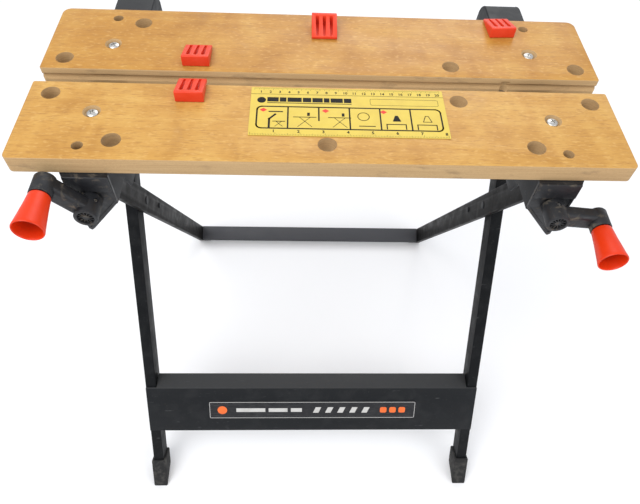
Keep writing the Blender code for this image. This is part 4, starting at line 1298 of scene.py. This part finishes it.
@dataclass
class FrontLegs:
    """The front leg frame: two channel legs, the step plate with its panel, and boots; PinWork turns its
    hinge bolts.
    """

    legs: LegGeometry
    outer: float = LEG_OUTER
    width: float = LEG_WIDTH
    depth: float = 0.0320
    sheet: float = SHEET
    down: float = 0.5300
    step_top: float = 0.3385
    step_bottom: float = 0.4306
    flange: float = 0.029

    @property
    def inner(self) -> float:
        """The legs' inner faces."""
        return self.outer - self.width

    def build_leg(self, side: Side) -> bpy.types.Object:
        """Fold one channel leg, open at the back, with a closed round top."""
        half, up = self.depth / 2, self.legs.pivot_up
        low, high = sorted((side.value * self.inner, side.value * self.outer))
        outline = [(-half, -self.down), (half, -self.down), *arc((0, up), half, 0, 180, 24)]
        leg = Shape(self.legs.front).prism(outline, "X", low, high).done(f"front_leg_{side.word}_channel")
        soften(leg, 0.0016, 4, 50)
        hollow = Shape(self.legs.front).box((low + self.sheet, -half + self.sheet, -self.down + 0.012),
                                            (high - self.sheet, half + 0.01, up - 0.022))
        combine(leg, hollow.done("hollow"))
        for height in (0.0, up):
            drill(leg, self.legs.front, PIVOT_HOLE_R, (low - 0.01, 0, height), (high + 0.01, 0, height))
        smooth(leg)
        return leg

    def build_boot(self, side: Side) -> bpy.types.Object:
        """Mould one rubber boot with a rolled top."""
        half, middle = self.depth / 2 + 0.0035, side.value * (self.outer - self.width / 2)
        top = -self.down + 0.030
        floor = self.legs.floor_front
        outline = [(-half, top), (half, top), (half, floor(half)), (-half, floor(-half))]
        boot = Shape(self.legs.front).prism(outline, "X", middle - 0.0125, middle + 0.0125).done(
            f"front_foot_{side.word}_boot")
        soften(boot, 0.0020, 4, 40)
        room_x, room_y = self.width / 2 + GAP, self.depth / 2 + GAP
        socket = Shape(self.legs.front).box((middle - room_x, -room_y, -self.down - GAP),
                                            (middle + room_x, room_y, top + 0.02))
        combine(boot, socket.done("socket"))
        smooth(boot)
        return boot

    def build_step(self) -> bpy.types.Object:
        """Fold the step plate: face, level flange, lip and foot flange."""
        front = -self.depth / 2 - GAP - self.sheet
        rise = self.legs.rise
        level, down = Vector((math.sin(rise), math.cos(rise))), Vector((math.cos(rise), -math.sin(rise)))
        top = Vector((front, -self.step_top))
        lip, bottom = top + self.flange * level, -self.step_bottom
        outline = [(front, bottom), top, lip, lip + 0.011 * down, lip + 0.011 * down - self.sheet * level,
                   lip + self.sheet * down - self.sheet * level,
                   (front + self.sheet, (top + 0.0025 * level).y - self.sheet),
                   (front + self.sheet, bottom + self.sheet), (front + 0.0150, bottom + self.sheet),
                   (front + 0.0150, bottom)]
        pairs = [tuple(point) for point in outline]
        step = Shape(self.legs.front).prism(pairs, "X", -self.outer, self.outer).done("step_plate_pressing")
        for side in (-1, 1):
            low, high = sorted((side * (self.inner - 0.0006), side * (self.outer + 0.01)))
            room = Shape(self.legs.front).box((low, front + self.sheet - 0.0001, bottom - 0.02),
                                              (high, front + 0.08, -self.step_top + 0.04))
            combine(step, room.done("room"))
        soften(step, 0.0008, 3, 40)
        return step

    def build_panel(self) -> list[bpy.types.Object]:
        """The plain panel on the step: film, light border and a generic row of marks."""
        face = -self.depth / 2 - 0.0006 - self.sheet
        low, high, front = (-0.1870, -0.4036), (0.1870, -0.3663), self.legs.front
        film = Shape(front).prism(rounded_rectangle(low, high, 0.003, 6), "Y", face - 0.00044,
                                  face).done("panel_film")
        ink = face - 0.00050
        border = Shape(front)
        outer = rounded_rectangle((low[0] + 0.0018, low[1] + 0.0018), (high[0] - 0.0018, high[1] - 0.0018),
                                  0.002, 5)
        for start, end in zip(outer, outer[1:] + outer[:1]):
            across = Vector((end[0] - start[0], end[1] - start[1]))
            side = Vector((-across.y, across.x)).normalized() * 0.0004
            corners = [Vector(start) - side, Vector(end) - side, Vector(end) + side, Vector(start) + side]
            border.prism([tuple(c) for c in corners], "Y", ink, ink + 0.00005)
        middle = (low[1] + high[1]) / 2
        for x, wide in ((-0.138, 0.052), (-0.080, 0.034), (-0.040, 0.020)):
            border.box((x, ink, middle - 0.0040), (x + wide, ink + 0.00005, middle + 0.0040))
        for index in range(5):
            x = 0.0 + index * 0.022
            pairs = [(x, middle - 0.006), (x + 0.010, middle - 0.006), (x + 0.015, middle + 0.006),
                     (x + 0.005, middle + 0.006)]
            border.prism(pairs, "Y", ink, ink + 0.00005)
        accent = Shape(front)
        accent.prism(arc((-0.163, middle), 0.0085, 0, 360, 28)[:-1], "Y", ink, ink + 0.00005)
        for index in range(3):
            x = 0.122 + index * 0.017
            accent.prism(rounded_rectangle((x, middle - 0.006), (x + 0.012, middle + 0.006), 0.003, 4), "Y",
                         ink, ink + 0.00005)
        return [film, border.done("panel_light_marks"), accent.done("panel_orange_marks")]

    def assemble(self) -> None:
        """Build, dress and mount the whole front frame."""
        body = Body.FRONT_LEGS.value
        step = self.build_step()
        dress(step, PaintedSteel(amount=0.35))
        mount(step, body, "step_plate")
        film, border, accent = self.build_panel()
        for piece, finish in ((film, PANEL_FILM), (border, PANEL_LINE), (accent, PANEL_ORANGE)):
            dress(piece, finish)
        mount(film, body, "step_badge")
        mount(border, body)
        mount(accent, body)
        for side in Side:
            leg, boot = self.build_leg(side), self.build_boot(side)
            # The legs take a darker copy of the black paint: painted shade.
            dress(leg, LEG_SHADED_PAINT)
            dress(boot, Rubber())
            mount(leg, body, f"front_leg_{side.word}")
            mount(boot, body, f"front_foot_{side.word}")


@dataclass
class RearLegs:
    """The rear leg frame: two forked channel arms, the bar at the floor and pads; PinWork turns its stop
    rivets.
    """

    legs: LegGeometry
    inner: float = ARM_INNER
    width: float = 0.0100
    depth: float = 0.0340
    sheet: float = SHEET
    down: float = 0.5298
    bar: float = 0.0120

    def build_arm(self, side: Side) -> bpy.types.Object:
        """Fold one arm, open on its outer side, and cut its fork."""
        half, up = self.depth / 2, self.legs.hook_up
        end, frame = up + 0.0170, self.legs.rear
        low, high = sorted((side.value * self.inner, side.value * (self.inner + self.width)))
        outline = [(-half, -self.down), (half, -self.down), (half, end - 0.006), (half - 0.006, end),
                   (-half + 0.006, end), (-half, end - 0.006)]
        arm = Shape(frame).prism(outline, "X", low, high).done(f"rear_arm_{side.word}_channel")
        soften(arm, 0.0013, 3, 40)
        web = side.value * (self.inner + self.sheet), side.value * (self.inner + self.width + 0.01)
        hollow = Shape(frame).box((min(web), -half + self.sheet, -self.down + 0.016),
                                  (max(web), half - self.sheet, up - 0.030))
        combine(arm, hollow.done("hollow"))
        wide = 0.0046
        fork = [*arc((0, up), wide, 180, 360, 16), (wide + 0.0035, end + 0.004), (-wide, end + 0.004)]
        combine(arm, Shape(frame).prism(fork, "X", low - 0.01, high + 0.01).done("fork"))
        for height, y, radius in ((0.0, 0.0, PIVOT_HOLE_R), (-0.080, 0.004, 0.0033)):
            drill(arm, frame, radius, (low - 0.01, y, height), (high + 0.01, y, height))
        smooth(arm)
        return arm

    def build_bar(self) -> bpy.types.Object:
        """Fold the bar that joins the arms."""
        half, reach, bottom = self.depth / 2, self.inner - GAP, -self.down
        bar = Shape(self.legs.rear).box((-reach, -half, bottom),
                                        (reach, half, bottom + self.bar)).done("rear_bar_channel")
        soften(bar, 0.0014, 3)
        hollow = Shape(self.legs.rear).box((-reach + 0.012, -half + self.sheet, bottom - 0.01),
                                           (reach - 0.012, half - self.sheet,
                                            bottom + self.bar - self.sheet))
        combine(bar, hollow.done("hollow"))
        smooth(bar)
        return bar

    def build_pad(self, side: Side) -> bpy.types.Object:
        """Mould one pad under the bar's end."""
        half, top, floor = self.depth / 2, -self.down - GAP, self.legs.floor_rear
        outline = [(-half, top), (0.006, top), (0.006, floor(0.006)), (-half, floor(-half))]
        low, high = sorted((side.value * 0.2480, side.value * (self.inner + self.width)))
        pad = Shape(self.legs.rear).prism(outline, "X", low, high).done(f"rear_foot_{side.word}_pad")
        soften(pad, 0.0012, 3)
        return pad

    def assemble(self) -> None:
        """Build, dress and mount the whole rear frame."""
        body = Body.REAR_LEGS.value
        bar = self.build_bar()
        # The bar takes a paler copy of the black paint: dust and painted light.
        dress(bar, BAR_LIT_DUSTY_PAINT)
        mount(bar, body, "rear_bar")
        for side in Side:
            arm, pad = self.build_arm(side), self.build_pad(side)
            # The arms take a darker copy of the black paint: painted shade under the worktop.
            dress(arm, ARM_SHADED_PAINT)
            dress(pad, Rubber())
            mount(arm, body, f"rear_arm_{side.word}")
            mount(pad, body, f"rear_foot_{side.word}")


@dataclass
class PinWork:
    """The bolts, studs, rivets and spacers of the folding frame."""

    legs: LegGeometry

    def turn(self, name: str, profile: Sequence[Pair], centre: Vector, side: Side) -> bpy.types.Object:
        """Turn one fastener along X, outward on its side."""
        made = Shape(Matrix.Translation((0, centre.y, centre.z))).turned(profile, 40,
                                                                         (side.value, 0, 0)).done(name)
        smooth(made, 32)
        return made

    def bolt(self, inner: float, outer: float, shank: float, heads: tuple[Pair, Pair]) -> list[Pair]:
        """A bolt's profile with a rounded head at each end.

        Args:
            inner: Where the inner head meets the shank.
            outer: Where the outer head meets the shank.
            shank: The shank's radius.
            heads: (radius, thickness) of the inner head, then of the outer head.

        Returns:
            The closed profile.
        """
        (near_r, near_t), (far_r, far_t) = heads
        return [
            (0, inner - near_t), (0.55 * near_r, inner - near_t), (0.85 * near_r, inner - 0.82 * near_t),
            (near_r, inner - 0.45 * near_t), (near_r, inner), (shank, inner), (shank, outer),
            (far_r, outer),
            (far_r, outer + 0.45 * far_t), (0.85 * far_r, outer + 0.82 * far_t),
            (0.55 * far_r, outer + far_t),
            (0, outer + far_t),
        ]

    def assemble(self) -> None:
        """Turn, dress and mount every fastener."""
        geometry = self.legs
        up_front = Vector((0, math.cos(geometry.rise), math.sin(geometry.rise)))
        up_rear = Vector((0, -math.cos(geometry.rise), math.sin(geometry.rise)))
        behind = Vector((0, math.sin(geometry.rise), math.cos(geometry.rise)))
        pivot = geometry.cross + geometry.pivot_up * up_front
        hook = geometry.cross + geometry.hook_up * up_rear
        rivet = geometry.cross - 0.080 * up_rear + 0.004 * behind
        inner = VISE_X - HOUSING_HALF - GAP
        outer = LEG_OUTER + GAP
        wall = VISE_X + HOUSING_HALF - HOUSING_WALL - GAP
        web = ARM_INNER + SHEET + GAP
        start, end = VISE_X + HOUSING_HALF + GAP, LEG_OUTER - LEG_WIDTH - GAP
        tube = [(PIVOT_HOLE_R, start), (0.0060, start), (0.0060, end), (PIVOT_HOLE_R, end)]
        legs, arms, top = Body.FRONT_LEGS.value, Body.REAR_LEGS.value, Body.TOP.value
        zinc, paint = ZincSteel(), PaintedSteel(amount=0.6)
        for side in Side:
            word = side.word
            jobs = (
                (f"top_pivot_bolt_{word}",
                 self.bolt(inner, outer, 0.004, ((0.007, 0.0037), (0.007, 0.0042))), pivot, zinc, legs),
                (f"cross_pivot_bolt_{word}",
                 self.bolt(ARM_INNER - GAP, outer, 0.004, ((0.0062, 0.0009), (0.007, 0.0042))),
                 geometry.cross, paint, legs),
                (f"hook_stud_{word}",
                 self.bolt(wall, ARM_OUTER + 0.0005, 0.004, ((0.006, 0.0020), (0.0058, 0.0020))),
                 hook, zinc, top),
                (f"stop_rivet_{word}",
                 self.bolt(ARM_INNER - GAP, web, 0.003, ((0.005, 0.0017), (0.0045, 0.0012))),
                 rivet, paint, arms),
                (f"pivot_spacer_{word}", tube, pivot, zinc, legs),
            )
            for node, profile, centre, finish, body in jobs:
                piece = self.turn(node + "_turning", profile, centre, side)
                dress(piece, finish)
                mount(piece, body, node)


# ---------------------------------------------------------------------------------------------------------
# The studio


@dataclass
class Studio:
    """Plain floor, soft lights and the camera."""

    eye: Triple = (-0.0267, -0.5886, 1.1539)
    pitch: float = 0.9557
    yaw: float = 0.0776
    roll: float = 0.0729
    lens: float = 32.24
    shift: Pair = (-0.00825, 0.0121)

    def build_floor(self) -> None:
        """A wide pale floor."""
        floor = Shape().box((-6, -6, -0.02), (6, 6, -0.0005)).done("floor")
        nodes = Nodes("PaleFloor")
        nodes.set(Base_Color=(0.86, 0.86, 0.86, 1.0), Roughness=0.9, Specular_IOR_Level=0.1)
        floor.data.materials.append(nodes.material)

    def light(self, name: str, at: Triple, aim: Triple, size: float, watts: float) -> None:
        """Hang one square soft light.

        Args:
            name: The light's name.
            at: Where it hangs.
            aim: What it points at.
            size: Its side in metres.
            watts: Its power.
        """
        data = bpy.data.lights.new(name, "AREA")
        data.size, data.energy = size, watts
        lamp = bpy.data.objects.new(name, data)
        lamp.location = at
        lamp.rotation_euler = (Vector(aim) - Vector(at)).to_track_quat("-Z", "Y").to_euler()
        bpy.context.scene.collection.objects.link(lamp)

    def build_lights(self) -> None:
        """A soft overhead key with two fills and a pale sky."""
        self.light("key", (-1.2, -1.0, 2.6), (0, 0, 0.5), 1.8, 42)
        self.light("fill", (1.8, -1.3, 1.6), (0, 0, 0.5), 1.6, 14)
        self.light("back", (0.4, 2.0, 2.2), (0, 0, 0.6), 1.6, 20)
        world = bpy.data.worlds.new("Sky")
        world.use_nodes = True
        world.node_tree.nodes["Background"].inputs["Color"].default_value = (0.93, 0.95, 1.0, 1.0)
        world.node_tree.nodes["Background"].inputs["Strength"].default_value = 0.85
        bpy.context.scene.world = world
        bpy.context.scene.view_settings.view_transform = "Standard"

    def build_camera(self) -> None:
        """Stand the camera over the front of the bench."""
        ahead = Vector((math.sin(self.yaw) * math.cos(self.pitch),
                        math.cos(self.yaw) * math.cos(self.pitch),
                        -math.sin(self.pitch)))
        right = ahead.cross(Vector((0, 0, 1))).normalized()
        up = right.cross(ahead)
        tilted_right = math.cos(self.roll) * right + math.sin(self.roll) * up
        tilted_up = math.cos(self.roll) * up - math.sin(self.roll) * right
        turn = Matrix((tilted_right, tilted_up, -ahead)).transposed().to_4x4()
        data = bpy.data.cameras.new("camera")
        data.lens, data.sensor_width = self.lens, 36.0
        data.shift_x, data.shift_y = self.shift
        data.clip_start = 0.02
        camera = bpy.data.objects.new("camera", data)
        camera.matrix_world = Matrix.Translation(self.eye) @ turn
        bpy.context.scene.collection.objects.link(camera)
        bpy.context.scene.camera = camera


def main() -> None:
    """Build every sub-assembly in order."""
    logging.basicConfig(level=logging.INFO, format="%(message)s")
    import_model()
    studio = Studio()
    studio.build_camera()
    studio.build_floor()
    studio.build_lights()

    front_jaw = Jaw("front_jaw", FRONT_GRIP_Y, -1, Body.TOP, 0.0, 0.006, FRONT_TONE)
    rear_jaw = Jaw("rear_jaw", REAR_GRIP_Y, 1, Body.SLIDING_JAW, 1.7, 0.010, REAR_TONE, notch_x=0.205)
    for jaw in (front_jaw, rear_jaw):
        jaw.dress(jaw.build())
    for side in Side:
        x = side.value * front_jaw.screw[0]
        for jaw, name, turn in ((front_jaw, "front", 20), (rear_jaw, "rear", 55)):
            screw = JawScrew(f"jaw_screw_{name}_{side.word}", x, jaw.grip_y + jaw.outward * jaw.screw[1],
                             jaw.body,
                             turn=turn * side.value)
            screw.dress(screw.build())
    label = ScaleLabel()
    label.dress(*label.build())

    near, rear, middle = front_jaw.holes[1], front_jaw.holes[2], front_jaw.holes[3]
    for peg in (
        Peg("peg_front_left", "front_left_peg", -near[0], front_jaw.grip_y - near[1]),
        Peg("peg_rear_left", "rear_left_peg", -near[0], rear_jaw.grip_y + near[1]),
        Peg("peg_rear_middle", "rear_middle_peg", middle[0], rear_jaw.grip_y + middle[1], math.pi),
        Peg("peg_rear_right", "rear_right_peg", rear[0], rear_jaw.grip_y + rear[1], math.radians(3)),
    ):
        peg.dress(peg.build())

    Vise(Side.LEFT, math.radians(131.3)).assemble()
    Vise(Side.RIGHT, math.radians(-6.2)).assemble()
    geometry = LegGeometry()
    FrontLegs(geometry).assemble()
    RearLegs(geometry).assemble()
    PinWork(geometry).assemble()


if __name__ == "__main__":
    main()
